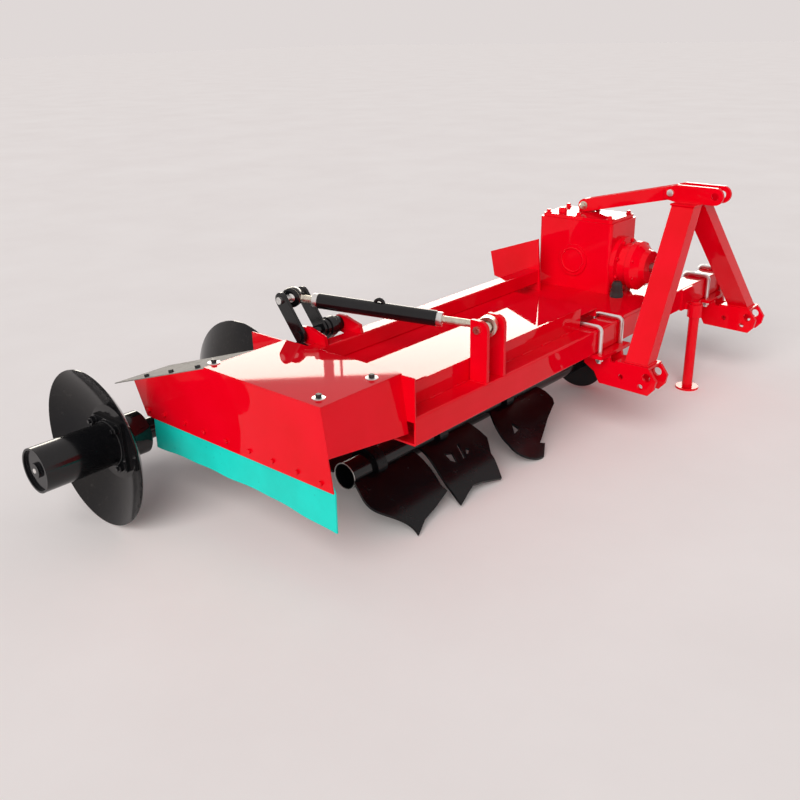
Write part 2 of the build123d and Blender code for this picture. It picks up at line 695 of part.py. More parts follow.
# Lower hitch brackets under the front beam, one each side
for node, middle in (("hitch_bracket_right", -HITCH_SPREAD / 2), ("hitch_bracket_left", HITCH_SPREAD / 2)):
    with BuildPart() as bracket:
        with BuildSketch(level(BEAM_BOTTOM)):
            with Locations(((FLANGE_FRONT + FLANGE_BACK) / 2, middle)):
                Rectangle(FLANGE_FRONT - FLANGE_BACK, 2 * FLANGE_HALF)
            with Locations(
                *[
                    (x, middle + side * U_BOLT_HALF)
                    for x in (U_BOLT_RADIUS + FIT, -BEAM_SIDE - U_BOLT_RADIUS - FIT)
                    for side in (-1, 1)
                ]
            ):
                Circle(U_BOLT_RADIUS + FIT, mode=Mode.SUBTRACT)
        extrude(amount=-FLANGE_THICK)
        for side in (-1, 1):
            outer = middle + side * (BRACKET_GAP + BRACKET_PLATE) / 2 + BRACKET_PLATE / 2
            with BuildSketch(side_plane(outer)):
                with BuildLine():
                    Polyline(
                        (-60, BEAM_BOTTOM - FLANGE_THICK),
                        (-60, 262),
                        (-21, 238),
                        (0, 201),
                        (177, 197),
                        (196, 219),
                        (BRACKET_FRONT, 250),
                        (177, BRACKET_TOP),
                        (36, BRACKET_TOP),
                        (FLANGE_FRONT, BEAM_BOTTOM - FLANGE_THICK),
                        close=True,
                    )
                make_face()
                with Locations((LOWER_PIN_X, LOWER_PIN_Z)):
                    Circle(LOWER_PIN_BORE / 2, mode=Mode.SUBTRACT)
                with Locations((149, 222), (77, 240)):
                    Circle(9, mode=Mode.SUBTRACT)
            extrude(amount=BRACKET_PLATE)
        with BuildSketch(level(BRACKET_TOP)):
            with Locations((LEG_FOOT_X - 8, middle)):
                Rectangle(120, BRACKET_GAP + 2 * BRACKET_PLATE)
        extrude(amount=FOOT_PLATE)
    bracket.part.label = node
    export_step(bracket.part, f"parts/{node}.step")

# U-bolts that clamp the brackets to the beam
U_FRONT = U_BOLT_RADIUS + FIT
U_BACK = -BEAM_SIDE - U_BOLT_RADIUS - FIT
U_TOP = BEAM_TOP + U_BOLT_RADIUS + FIT
NUT_SIZE = 12.0
U_NUT_THICK = 13.0
U_PLACES = [side * HITCH_SPREAD / 2 + offset for side in (-1, 1) for offset in (-U_BOLT_HALF, U_BOLT_HALF)]
with BuildPart() as hitch_u_bolts:
    for place in U_PLACES:
        with BuildLine(side_plane(place)):
            FilletPolyline(
                (U_FRONT, U_BOLT_END),
                (U_FRONT, U_TOP),
                (U_BACK, U_TOP),
                (U_BACK, U_BOLT_END),
                radius=14,
            )
        with BuildSketch(level(U_BOLT_END)):
            with Locations((U_FRONT, place)):
                Circle(U_BOLT_RADIUS)
        sweep()
        with BuildSketch(level(BEAM_BOTTOM - FLANGE_THICK)):
            with Locations((U_FRONT, place), (U_BACK, place)):
                RegularPolygon(NUT_SIZE, 6, major_radius=False)
        extrude(amount=-U_NUT_THICK)
hitch_u_bolts.part.label = "hitch_u_bolts"
export_step(hitch_u_bolts.part, "parts/hitch_u_bolts.step")

# Mast legs, oblique square tubes from the brackets up to the head
LEG_BOTTOM = BRACKET_TOP + FOOT_PLATE
LEG_TOP = HEAD_BOTTOM - 6
for node, side in (("mast_leg_right", -1), ("mast_leg_left", 1)):
    foot = (LEG_FOOT_X, side * HITCH_SPREAD / 2)
    lean = Vector(LEG_TOP_X - LEG_FOOT_X, side * (LEG_TOP_Y - HITCH_SPREAD / 2), LEG_TOP - LEG_BOTTOM)
    with BuildPart() as leg:
        with BuildSketch(level(LEG_BOTTOM)):
            with Locations(foot):
                Rectangle(LEG_DEPTH, LEG_WIDTH)
                Rectangle(LEG_DEPTH - 2 * LEG_WALL, LEG_WIDTH - 2.6 * LEG_WALL, mode=Mode.SUBTRACT)
        extrude(amount=lean.length, dir=(lean.X, lean.Y, lean.Z))
    leg.part.label = node
    export_step(leg.part, f"parts/{node}.step")

# Mast head, two plates on a cap that joins the legs
HEAD_MIDDLE = HEAD_BOTTOM + HEAD_HEIGHT / 2
HEAD_TOP = HEAD_BOTTOM + HEAD_HEIGHT
with BuildPart() as mast_head:
    with BuildSketch(level(LEG_TOP)):
        with Locations((LEG_TOP_X, 0)):
            Rectangle(LEG_DEPTH + 8, 2 * LEG_TOP_Y + LEG_WIDTH + 8)
    extrude(amount=HEAD_BOTTOM - LEG_TOP)
    for outer in (HEAD_GAP / 2 + HEAD_PLATE, -HEAD_GAP / 2):
        with BuildSketch(side_plane(outer)):
            with BuildLine():
                Polyline(
                    (TOP_PIN_X, HEAD_TOP),
                    (20, HEAD_TOP),
                    (HEAD_BACK, HEAD_TOP - 12),
                    (HEAD_BACK, HEAD_BOTTOM + 8),
                    (10, HEAD_BOTTOM),
                    (TOP_PIN_X, HEAD_BOTTOM),
                )
                ThreePointArc(
                    (TOP_PIN_X, HEAD_BOTTOM),
                    (TOP_PIN_X + HEAD_HEIGHT / 2, HEAD_MIDDLE),
                    (TOP_PIN_X, HEAD_TOP),
                )
            make_face()
            with Locations((TOP_PIN_X, HEAD_MIDDLE)):
                Circle(TOP_PIN_BORE / 2, mode=Mode.SUBTRACT)
            with Locations((-2, HEAD_MIDDLE)):
                Circle(11, mode=Mode.SUBTRACT)
        extrude(amount=HEAD_PLATE)
mast_head.part.label = "mast_head"
export_step(mast_head.part, "parts/mast_head.step")

# Two flat bars that brace the head to the lug on the gearbox
BRACE_FRONT_X = -2.0
BRACE_RUN = hypot(BRACE_FRONT_X - BRACE_BACK_X, HEAD_MIDDLE - BRACE_BACK_Z)
BRACE_ANGLE = degrees(atan2(HEAD_MIDDLE - BRACE_BACK_Z, BRACE_FRONT_X - BRACE_BACK_X))
with BuildPart() as mast_braces:
    for outer in (HEAD_GAP / 2, -HEAD_GAP / 2 + BRACE_THICK):
        with BuildSketch(side_plane(outer)):
            with Locations(((BRACE_FRONT_X + BRACE_BACK_X) / 2, (HEAD_MIDDLE + BRACE_BACK_Z) / 2)):
                SlotCenterToCenter(BRACE_RUN, BRACE_WIDTH, rotation=BRACE_ANGLE)
            with Locations((BRACE_FRONT_X, HEAD_MIDDLE)):
                Circle(11, mode=Mode.SUBTRACT)
        extrude(amount=BRACE_THICK)
mast_braces.part.label = "mast_braces"
export_step(mast_braces.part, "parts/mast_braces.step")

# Lugs on the front beam with the pin and ball that carry the turnbuckle's front eye
with BuildPart() as link_lugs:
    for outer in (LINK_Y + LINK_GAP / 2 + LUG_THICK, LINK_Y - LINK_GAP / 2):
        with BuildSketch(side_plane(outer)):
            with BuildLine():
                Polyline((LUG_BACK, BEAM_TOP), (LUG_BACK, LINK_Z + LUG_CORNER), (-LUG_CORNER, LINK_Z + LUG_CORNER))
                CenterArc((-LUG_CORNER, LINK_Z), LUG_CORNER, 0, 90)
                Polyline((0, LINK_Z), (0, BEAM_TOP), (LUG_BACK, BEAM_TOP))
            make_face()
            with Locations((LINK_X, LINK_Z)):
                Circle(LINK_PIN_RADIUS + FIT, mode=Mode.SUBTRACT)
        extrude(amount=LUG_THICK)
link_lugs.part.label = "link_lugs"
export_step(link_lugs.part, "parts/link_lugs.step")

# Pins along Y with the ball that an eye turns on: node, X, Z, right end, left end, ball's Y
BALL_HALF = 14.0
BALL_EDGE = sqrt(BALL_RADIUS**2 - BALL_HALF**2)
BALL_PINS = [
    ("link_pin", LINK_X, LINK_Z, LINK_Y - LINK_GAP / 2 - LUG_THICK - 8,
     LINK_Y + LINK_GAP / 2 + LUG_THICK + 8, LINK_Y),
    ("crank_pin", CRANK_X, CRANK_Z, LEVER_RIGHT - 8, LEVER_LEFT + 8, CRANK_Y),
]
for node, x, z, right, left, ball in BALL_PINS:
    with BuildPart() as pin:
        with BuildSketch(side_plane(left)):
            with Locations((x, z)):
                Circle(LINK_PIN_RADIUS)
        extrude(amount=left - right)
        ball_plane = Plane(
            origin=(DATUM_X + x, DATUM_Y + ball, z), x_dir=(0, 1, 0), z_dir=(1, 0, 0)
        )
        with BuildSketch(ball_plane):
            with BuildLine():
                Polyline((-BALL_HALF, BALL_EDGE), (-BALL_HALF, 0), (BALL_HALF, 0), (BALL_HALF, BALL_EDGE))
                ThreePointArc((BALL_HALF, BALL_EDGE), (0, BALL_RADIUS), (-BALL_HALF, BALL_EDGE))
            make_face()
        revolve(axis=Axis((DATUM_X + x, DATUM_Y + ball, z), (0, 1, 0)))
    pin.part.label = node
    export_step(pin.part, f"parts/{node}.step")

# Turnbuckle barrel with the front rod, and the rear rod that screws in and out of it
with BuildPart() as turnbuckle_barrel:
    with BuildSketch(link_plane(BARREL_START)):
        Circle(BARREL_RADIUS)
    extrude(amount=BARREL_END - BARREL_START)
    with BuildSketch(link_plane(BARREL_START - NUT_THICK)):
        RegularPolygon(NUT_RADIUS, 6)
    extrude(amount=NUT_THICK)
    with BuildSketch(link_plane(BARREL_END)):
        RegularPolygon(NUT_RADIUS, 6)
    extrude(amount=NUT_THICK)
    with BuildSketch(link_plane(BARREL_START - NUT_THICK)):
        Circle(ROD_RADIUS + FIT)
    extrude(amount=BARREL_END - BARREL_START + 2 * NUT_THICK, mode=Mode.SUBTRACT)
turnbuckle_barrel.part.label = "turnbuckle_barrel"
export_step(turnbuckle_barrel.part, "parts/turnbuckle_barrel.step")

# Rods with their eyes: node, eye's place along the line, rod's far end, play round the ball
ROD_ENDS = [
    ("turnbuckle_front_rod", 0.0, BARREL_START + ROD_GRIP, FIT),
    ("turnbuckle_rear_rod", LINK_LENGTH, BARREL_END - ROD_GRIP, EYE_PLAY),
]
for node, eye, end, play in ROD_ENDS:
    with BuildPart() as rod:
        with BuildSketch(link_plane(min(eye, end))):
            Circle(ROD_RADIUS)
        extrude(amount=abs(end - eye))
        with BuildSketch(eye_plane(eye, -EYE_WIDTH / 2)):
            Circle(EYE_RADIUS)
        extrude(amount=EYE_WIDTH)
        with BuildSketch(eye_plane(eye, -EYE_WIDTH / 2)):
            Circle(BALL_RADIUS + play)
        extrude(amount=EYE_WIDTH, mode=Mode.SUBTRACT)
    rod.part.label = node
    export_step(rod.part, f"parts/{node}.step")

# Lugs on the rear tube that carry the swing frame's pivot
with BuildPart() as pivot_lugs:
    for outer in (PIVOT_LUG_RIGHT + LUG_THICK, PIVOT_LUG_LEFT):
        with BuildSketch(side_plane(outer)):
            with BuildLine():
                Polyline(
                    (REAR_FRONT, HOOD_TOP + REAR_SIDE),
                    (REAR_FRONT - 6, 508),
                    (-470, 526),
                    (-502, 524),
                    (-518, 504),
                    (-510, 478),
                    (REAR_BACK, 466),
                    (REAR_BACK, HOOD_TOP + REAR_SIDE),
                    close=True,
                )
            make_face()
            with Locations((PIVOT_X, PIVOT_Z)):
                Circle(PIVOT_RADIUS + FIT, mode=Mode.SUBTRACT)
        extrude(amount=LUG_THICK)
pivot_lugs.part.label = "pivot_lugs"
export_step(pivot_lugs.part, "parts/pivot_lugs.step")

# Swing frame: pivot shaft, two levers and the arm with the roller's bearing
with BuildPart() as swing_shaft:
    with BuildSketch(side_plane(PIVOT_LUG_LEFT + 10)):
        with Locations((PIVOT_X, PIVOT_Z)):
            Circle(PIVOT_RADIUS)
    extrude(amount=PIVOT_LUG_LEFT + 10 - LEVER_RIGHT + 6)
    with BuildSketch(side_plane(PIVOT_LUG_LEFT - LUG_THICK - 1)):
        with Locations((PIVOT_X, PIVOT_Z)):
            Circle(PIVOT_RADIUS + 8)
    extrude(amount=12)
swing_shaft.part.label = "swing_shaft"
export_step(swing_shaft.part, "parts/swing_shaft.step")

LEVER_RUN = hypot(CRANK_X - PIVOT_X, CRANK_Z - PIVOT_Z)
LEVER_ANGLE = degrees(atan2(CRANK_Z - PIVOT_Z, CRANK_X - PIVOT_X))
for node, outer in (("swing_lever_right", LEVER_RIGHT + LEVER_THICK), ("swing_lever_left", LEVER_LEFT)):
    with BuildPart() as lever:
        with BuildSketch(side_plane(outer)):
            with Locations(((CRANK_X + PIVOT_X) / 2, (CRANK_Z + PIVOT_Z) / 2)):
                SlotCenterToCenter(LEVER_RUN, LEVER_WIDTH, rotation=LEVER_ANGLE)
            with Locations((PIVOT_X, PIVOT_Z)):
                Circle(PIVOT_RADIUS + FIT, mode=Mode.SUBTRACT)
            with Locations((CRANK_X, CRANK_Z)):
                Circle(LINK_PIN_RADIUS + FIT, mode=Mode.SUBTRACT)
        extrude(amount=LEVER_THICK)
    lever.part.label = node
    export_step(lever.part, f"parts/{node}.step")

ARM_RUN = hypot(ROLLER_X - PIVOT_X, ROLLER_Z - PIVOT_Z)
ARM_ANGLE = degrees(atan2(ROLLER_Z - PIVOT_Z, ROLLER_X - PIVOT_X))
ARM_MIDDLE = (ARM_RIGHT + ARM_LEFT) / 2
ARM_THICK = 24.0
with BuildPart() as swing_arm:
    with BuildSketch(side_plane(ARM_MIDDLE + ARM_THICK / 2)):
        with Locations(((ROLLER_X + PIVOT_X) / 2, (ROLLER_Z + PIVOT_Z) / 2)):
            SlotCenterToCenter(ARM_RUN, ARM_WIDTH, rotation=ARM_ANGLE)
    extrude(amount=ARM_THICK)
    with BuildSketch(side_plane(ARM_LEFT)):
        with Locations((ROLLER_X, ROLLER_Z)):
            Circle(BEARING_RADIUS)
        with Locations((PIVOT_X, PIVOT_Z)):
            Circle(PIVOT_RADIUS + 12)
    extrude(amount=ARM_LEFT - ARM_RIGHT)
    with BuildSketch(side_plane(ARM_LEFT)):
        with Locations((ROLLER_X, ROLLER_Z)):
            Circle(AXLE_RADIUS + FIT)
        with Locations((PIVOT_X, PIVOT_Z)):
            Circle(PIVOT_RADIUS + FIT)
    extrude(amount=ARM_LEFT - ARM_RIGHT, mode=Mode.SUBTRACT)
swing_arm.part.label = "swing_arm"
export_step(swing_arm.part, "parts/swing_arm.step")

# Forming roller: axle, drum, two dished discs and the hub flange
ROLLER_AXIS = Axis((DATUM_X + ROLLER_X, DATUM_Y, ROLLER_Z), (0, 1, 0))
AXLE_END = ARM_LEFT + 6
with BuildPart() as roller_axle:
    with BuildSketch(side_plane(AXLE_END)):
        with Locations((ROLLER_X, ROLLER_Z)):
            Circle(AXLE_RADIUS)
    extrude(amount=AXLE_END - DRUM_LEFT)
roller_axle.part.label = "roller_axle"
export_step(roller_axle.part, "parts/roller_axle.step")

DRUM_WALL = 6.0
CAP_RECESS = 8.0
with BuildPart() as roller_drum:
    with BuildSketch(side_plane(DRUM_LEFT)):
        with Locations((ROLLER_X, ROLLER_Z)):
            Circle(DRUM_RADIUS)
    extrude(amount=DRUM_LEFT - DRUM_RIGHT)
    with BuildSketch(side_plane(DRUM_RIGHT + CAP_RECESS)):
        with Locations((ROLLER_X, ROLLER_Z)):
            Circle(DRUM_RADIUS - DRUM_WALL)
            Circle(DRUM_RADIUS / 3, mode=Mode.SUBTRACT)
    extrude(amount=CAP_RECESS, mode=Mode.SUBTRACT)
    with BuildSketch(side_plane(DRUM_LEFT)):
        with Locations((ROLLER_X, ROLLER_Z)):
            Circle(AXLE_RADIUS / 2)
    extrude(amount=DRUM_WALL, mode=Mode.SUBTRACT)
roller_drum.part.label = "roller_drum"
export_step(roller_drum.part, "parts/roller_drum.step")

# Dished discs: node, radius, rim's Y, dome's Y, side of the dome, bore
DISCS = [
    ("roller_right_disc", RIGHT_DISC_RADIUS, RIGHT_DISC_RIM, RIGHT_DISC_FACE, 1, DRUM_RADIUS + FIT),
    ("roller_left_disc", LEFT_DISC_RADIUS, LEFT_DISC_RIM, LEFT_DISC_FACE, -1, AXLE_RADIUS + FIT),
]
DISC_HUBS = {}
for node, radius, rim, face, dome, bore in DISCS:
    depth = abs(face - rim)
    sphere = (radius**2 + depth**2) / (2 * depth)
    middle_radius = (DISC_FLAT + radius) / 2
    flat_face = face - dome * dish_depth(DISC_FLAT, sphere)
    middle_face = face - dome * dish_depth(middle_radius, sphere)
    inward = -dome * DISC_THICK
    DISC_HUBS[node] = flat_face + inward
    disc_plane = Plane(
        origin=(DATUM_X + ROLLER_X, DATUM_Y, ROLLER_Z), x_dir=(0, 1, 0), z_dir=(1, 0, 0)
    )
    with BuildPart() as disc:
        with BuildSketch(disc_plane):
            with BuildLine():
                Line((flat_face, bore), (flat_face, DISC_FLAT))
                ThreePointArc((flat_face, DISC_FLAT), (middle_face, middle_radius), (rim, radius))
                Line((rim, radius), (rim + inward, radius))
                ThreePointArc(
                    (rim + inward, radius),
                    (middle_face + inward, middle_radius),
                    (flat_face + inward, DISC_FLAT),
                )
                Line((flat_face + inward, DISC_FLAT), (flat_face + inward, bore))
                Line((flat_face + inward, bore), (flat_face, bore))
            make_face()
        revolve(axis=ROLLER_AXIS)
    disc.part.label = node
    export_step(disc.part, f"parts/{node}.step")

HUB_SIDE = 150.0
HUB_THICK = 12.0
with BuildPart() as roller_hub_flange:
    with BuildSketch(side_plane(DISC_HUBS["roller_right_disc"])):
        with Locations((ROLLER_X, ROLLER_Z)):
            RectangleRounded(HUB_SIDE, HUB_SIDE, 10)
            Circle(DRUM_RADIUS + FIT, mode=Mode.SUBTRACT)
    extrude(amount=HUB_THICK)
roller_hub_flange.part.label = "roller_hub_flange"
export_step(roller_hub_flange.part, "parts/roller_hub_flange.step")

LEFT_HUB_LENGTH = 34.0
with BuildPart() as roller_left_hub:
    with BuildSketch(side_plane(DISC_HUBS["roller_left_disc"] + LEFT_HUB_LENGTH)):
        with Locations((ROLLER_X, ROLLER_Z)):
            Circle(AXLE_RADIUS + 22)
            Circle(AXLE_RADIUS + FIT, mode=Mode.SUBTRACT)
    extrude(amount=LEFT_HUB_LENGTH)
roller_left_hub.part.label = "roller_left_hub"
export_step(roller_left_hub.part, "parts/roller_left_hub.step")

# Parking stand and the sleeve that holds it on the front beam
with BuildPart() as parking_stand:
    with BuildSketch(level(0)):
        with Locations((STAND_X, STAND_Y)):
            Circle(FOOT_RADIUS)
    extrude(amount=FOOT_THICK)
    with BuildSketch(level(FOOT_THICK)):
        with Locations((STAND_X, STAND_Y)):
            Circle(STAND_RADIUS)
            Circle(STAND_RADIUS - STAND_WALL, mode=Mode.SUBTRACT)
    extrude(amount=STAND_TOP - FOOT_THICK)
parking_stand.part.label = "parking_stand"
export_step(parking_stand.part, "parts/parking_stand.step")

CLAMP_HALF = 42.0
CLAMP_THICK = 8.0
with BuildPart() as stand_clamp:
    with BuildSketch(front_plane(0)):
        with Locations((STAND_Y, BEAM_BOTTOM)):
            Rectangle(2 * CLAMP_HALF, BEAM_SIDE, align=(Align.CENTER, Align.MIN))
    extrude(amount=CLAMP_THICK)
    with BuildSketch(level(SLEEVE_BOTTOM)):
        with Locations((STAND_X, STAND_Y)):
            Circle(SLEEVE_RADIUS)
    extrude(amount=SLEEVE_TOP - SLEEVE_BOTTOM)
    with BuildSketch(level(BEAM_BOTTOM)):
        with Locations((0, STAND_Y)):
            Rectangle(STAND_X, SLEEVE_RADIUS, align=(Align.MIN, Align.CENTER))
    extrude(amount=SLEEVE_TOP - BEAM_BOTTOM)
    with BuildSketch(level(SLEEVE_BOTTOM)):
        with Locations((STAND_X, STAND_Y)):
            Circle(STAND_RADIUS + FIT)
    extrude(amount=BEAM_SIDE, mode=Mode.SUBTRACT)
stand_clamp.part.label = "stand_clamp"
export_step(stand_clamp.part, "parts/stand_clamp.step")
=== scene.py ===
"""Paddy ridging machine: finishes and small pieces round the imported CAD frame."""

import json
import logging
import math
import random
from dataclasses import dataclass
from enum import Enum
from typing import Callable, Iterable, Sequence

import bpy
from mathutils import Matrix, Vector


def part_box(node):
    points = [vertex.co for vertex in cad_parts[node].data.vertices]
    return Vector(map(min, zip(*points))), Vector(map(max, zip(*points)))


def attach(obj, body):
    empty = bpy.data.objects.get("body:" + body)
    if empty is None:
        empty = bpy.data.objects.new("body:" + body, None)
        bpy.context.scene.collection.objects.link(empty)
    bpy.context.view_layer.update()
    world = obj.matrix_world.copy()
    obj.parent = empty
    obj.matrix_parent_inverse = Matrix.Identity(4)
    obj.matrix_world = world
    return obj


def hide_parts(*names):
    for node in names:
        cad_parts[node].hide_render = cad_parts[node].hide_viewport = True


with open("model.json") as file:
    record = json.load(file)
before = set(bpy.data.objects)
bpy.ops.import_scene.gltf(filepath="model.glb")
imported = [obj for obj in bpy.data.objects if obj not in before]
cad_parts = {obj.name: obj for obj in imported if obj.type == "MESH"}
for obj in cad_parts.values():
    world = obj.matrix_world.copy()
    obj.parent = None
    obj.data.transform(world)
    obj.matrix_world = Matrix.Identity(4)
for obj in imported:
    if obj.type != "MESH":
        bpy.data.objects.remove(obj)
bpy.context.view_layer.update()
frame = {"nodes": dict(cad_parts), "record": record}

LOG = logging.getLogger("ridging_machine")
MM = 0.001
Pair = tuple[float, float]
Pairs = Sequence[Pair]
Triple = tuple[float, float, float]
Colour = Triple
Run = tuple[Vector, Vector]
Piece = bpy.types.Object
Material = bpy.types.Material
Tree = bpy.types.NodeTree
Socket = bpy.types.NodeSocket
Number = float | Socket


class Slot(Enum):
    """Material slots of the record."""

    RED = "red_paint"
    BLACK = "black_paint"
    ZINC = "zinc_steel"
    SHEET = "grey_sheet"
    FLAP = "turquoise_rubber"


class Facing(Enum):
    """The way a small piece's head points, as turns about X and Y from straight up."""

    UP = (0.0, 0.0)
    RIGHT = (math.pi / 2, 0.0)
    LEFT = (-math.pi / 2, 0.0)
    FORWARD = (0.0, math.pi / 2)


@dataclass(frozen=True)
class Datum:
    """Middle of the hitch at the front beam's front face, on the ground.

    Args:
        x: its place along the frame's X axis, in metres.
        y: its place along the frame's Y axis, in metres.
    """

    x: float
    y: float

    def point(self, forward: float, left: float, up: float) -> Vector:
        """Place in the frame of a point given in millimetres from the datum."""
        return Vector((self.x + forward * MM, self.y + left * MM, up * MM))


def node_box(name: str) -> Run:
    """Lowest and highest corner of a CAD node, as vectors."""
    low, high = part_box(name)
    return Vector(low), Vector(high)


def read_datum() -> Datum:
    """The datum, from the front beam's front face and the top link's hole."""
    mounts = {mount["name"]: mount for mount in frame["record"]["mounts"]}
    return Datum(x=node_box("front_beam")[1].x, y=mounts["top_link_pin"]["pos_m"][1])


DATUM = read_datum()


# Shader node groups, each built once


def new_group(name: str, colours: Sequence[str], numbers: Sequence[str]) -> tuple[Tree, Sequence, Sequence]:
    """Makes an empty shader node group for a finish.

    Args:
        name: the group's name.
        colours: names of its colour inputs.
        numbers: names of its number inputs.

    Returns:
        The group, the sockets that it is given, and the Colour, Roughness and Height sockets that it fills.
    """
    group = bpy.data.node_groups.new(name, "ShaderNodeTree")
    given = [("Coordinates", "NodeSocketVector")]
    given += [(label, "NodeSocketColor") for label in colours]
    given += [(label, "NodeSocketFloat") for label in numbers]
    filled = [("Colour", "NodeSocketColor"), ("Roughness", "NodeSocketFloat"), ("Height", "NodeSocketFloat")]
    for side, sockets in (("INPUT", given), ("OUTPUT", filled)):
        for label, kind in sockets:
            group.interface.new_socket(name=label, in_out=side, socket_type=kind)
    return group, group.nodes.new("NodeGroupInput").outputs, group.nodes.new("NodeGroupOutput").inputs


def set_input(tree: Tree, socket: Socket, value: Number | Colour) -> None:
    """Links an input to a socket, or sets it to a number or a colour."""
    if isinstance(value, Socket):
        tree.links.new(value, socket)
    elif isinstance(value, tuple):
        socket.default_value = (*value, 1.0)
    else:
        socket.default_value = value


def add_noise(tree: Tree, coordinates: Socket, scale: Number, detail: float,
              roughness: float = 0.5) -> Socket:
    """Adds noise with so many octaves of detail, the finer ones weighted by roughness."""
    noise = tree.nodes.new("ShaderNodeTexNoise")
    noise.inputs["Detail"].default_value = detail
    noise.inputs["Roughness"].default_value = roughness
    set_input(tree, noise.inputs["Vector"], coordinates)
    set_input(tree, noise.inputs["Scale"], scale)
    return noise.outputs["Fac"]


def add_range(tree: Tree, value: Socket, low: float, high: float,
              to_low: Number = 0.0, to_high: Number = 1.0) -> Socket:
    """Maps a value from one range to another, with both ends held, and returns the result's socket."""
    node = tree.nodes.new("ShaderNodeMapRange")
    ends = (("Value", value), ("From Min", low), ("From Max", high), ("To Min", to_low), ("To Max", to_high))
    for label, end in ends:
        set_input(tree, node.inputs[label], end)
    return node.outputs["Result"]


def add_math(tree: Tree, operation: str, first: Number, second: Number) -> Socket:
    """Joins two numbers or sockets by one operation and returns the result's socket."""
    node = tree.nodes.new("ShaderNodeMath")
    node.operation = operation
    for socket, value in zip(node.inputs, (first, second)):
        set_input(tree, socket, value)
    return node.outputs[0]


def add_mix(tree: Tree, share: Socket, first: Socket | Colour, second: Socket | Colour) -> Socket:
    """Mixes two colours, each a tuple or a socket, and returns the colour's socket."""
    node = tree.nodes.new("ShaderNodeMix")
    node.data_type = "RGBA"
    for socket, value in ((node.inputs[0], share), (node.inputs[6], first), (node.inputs[7], second)):
        set_input(tree, socket, value)
    return node.outputs[2]


def make_paint_group() -> Tree:
    """Sprayed gloss paint: cloudy tone, orange peel, and dust and haze in patches.

    Returns:
        The group.
    """
    group, given, filled = new_group("sprayed_paint", ("Colour", "Deep"), ("Roughness", "Dust", "Peel"))
    dust_colour = (0.55, 0.52, 0.47)
    haze = 0.4  # how much rougher a hazy patch is, over the roughness
    waviness = 2.2  # height of the long waves over that of the orange peel
    coordinates, roughness = given["Coordinates"], given["Roughness"]
    clouds = add_noise(group, coordinates, scale=5.5, detail=3.0)
    tone = add_mix(group, add_range(group, clouds, 0.35, 0.75), given["Colour"], given["Deep"])
    specks = add_noise(group, coordinates, scale=95.0, detail=6.0, roughness=0.7)
    grime = add_range(group, specks, 0.56, 0.74, to_high=given["Dust"])
    smears = add_noise(group, coordinates, scale=11.0, detail=5.0, roughness=0.65)
    patches = add_range(group, smears, 0.45, 0.72)
    dusty = add_math(group, "MULTIPLY", grime, patches)
    set_input(group, filled["Colour"], add_mix(group, dusty, tone, dust_colour))
    hazy = add_math(group, "MULTIPLY", patches, add_math(group, "MULTIPLY", roughness, haze))
    rough = add_math(group, "ADD", roughness, hazy)
    set_input(group, filled["Roughness"], add_math(group, "ADD", rough, dusty))
    peel = add_noise(group, coordinates, scale=given["Peel"], detail=2.0)
    waves = add_math(group, "MULTIPLY", add_noise(group, coordinates, scale=34.0, detail=2.0), waviness)
    set_input(group, filled["Height"], add_math(group, "ADD", peel, waves))
    return group


def make_metal_group() -> Tree:
    """Plated or bare steel: cloudy sheen, fine grain and duller stains.

    Returns:
        The group.
    """
    group, given, filled = new_group("plated_steel", ("Colour", "Stain"), ("Roughness", "Grain"))
    stain_haze = 0.2  # how much rougher a full stain is
    coordinates = given["Coordinates"]
    clouds = add_noise(group, coordinates, scale=38.0, detail=5.0, roughness=0.6)
    share = add_range(group, clouds, 0.48, 0.78, to_high=0.8)
    set_input(group, filled["Colour"], add_mix(group, share, given["Colour"], given["Stain"]))
    grain = add_noise(group, coordinates, scale=given["Grain"], detail=3.0)
    spread = add_range(group, grain, 0.3, 0.7, to_low=-0.07, to_high=0.1)
    rough = add_math(group, "ADD", given["Roughness"], spread)
    stained = add_math(group, "MULTIPLY", share, stain_haze)
    set_input(group, filled["Roughness"], add_math(group, "ADD", rough, stained))
    set_input(group, filled["Height"], grain)
    return group


def make_rubber_group() -> Tree:
    """Moulded rubber: faint mottling, small spots of mud, a fine grain and shallow dents.

    Returns:
        The group.
    """
    group, given, filled = new_group("rubber_sheet", ("Colour", "Deep", "Mud"), ("Roughness",))
    mud_haze = 0.3  # how much rougher full mud is
    dent_height = 4.0  # height of the dents over that of the grain
    coordinates = given["Coordinates"]
    clouds = add_noise(group, coordinates, scale=9.0, detail=4.0, roughness=0.6)
    tone = add_mix(group, add_range(group, clouds, 0.35, 0.7), given["Colour"], given["Deep"])
    spots = add_noise(group, coordinates, scale=70.0, detail=4.0, roughness=0.6)
    mud = add_range(group, spots, 0.66, 0.76, to_high=0.75)
    set_input(group, filled["Colour"], add_mix(group, mud, tone, given["Mud"]))
    muddy = add_math(group, "MULTIPLY", mud, mud_haze)
    set_input(group, filled["Roughness"], add_math(group, "ADD", given["Roughness"], muddy))
    grain = add_noise(group, coordinates, scale=520.0, detail=3.0)
    dents = add_math(group, "MULTIPLY", add_noise(group, coordinates, scale=18.0, detail=2.0), dent_height)
    set_input(group, filled["Height"], add_math(group, "ADD", grain, dents))
    return group


PAINT_GROUP = make_paint_group()
METAL_GROUP = make_metal_group()
RUBBER_GROUP = make_rubber_group()


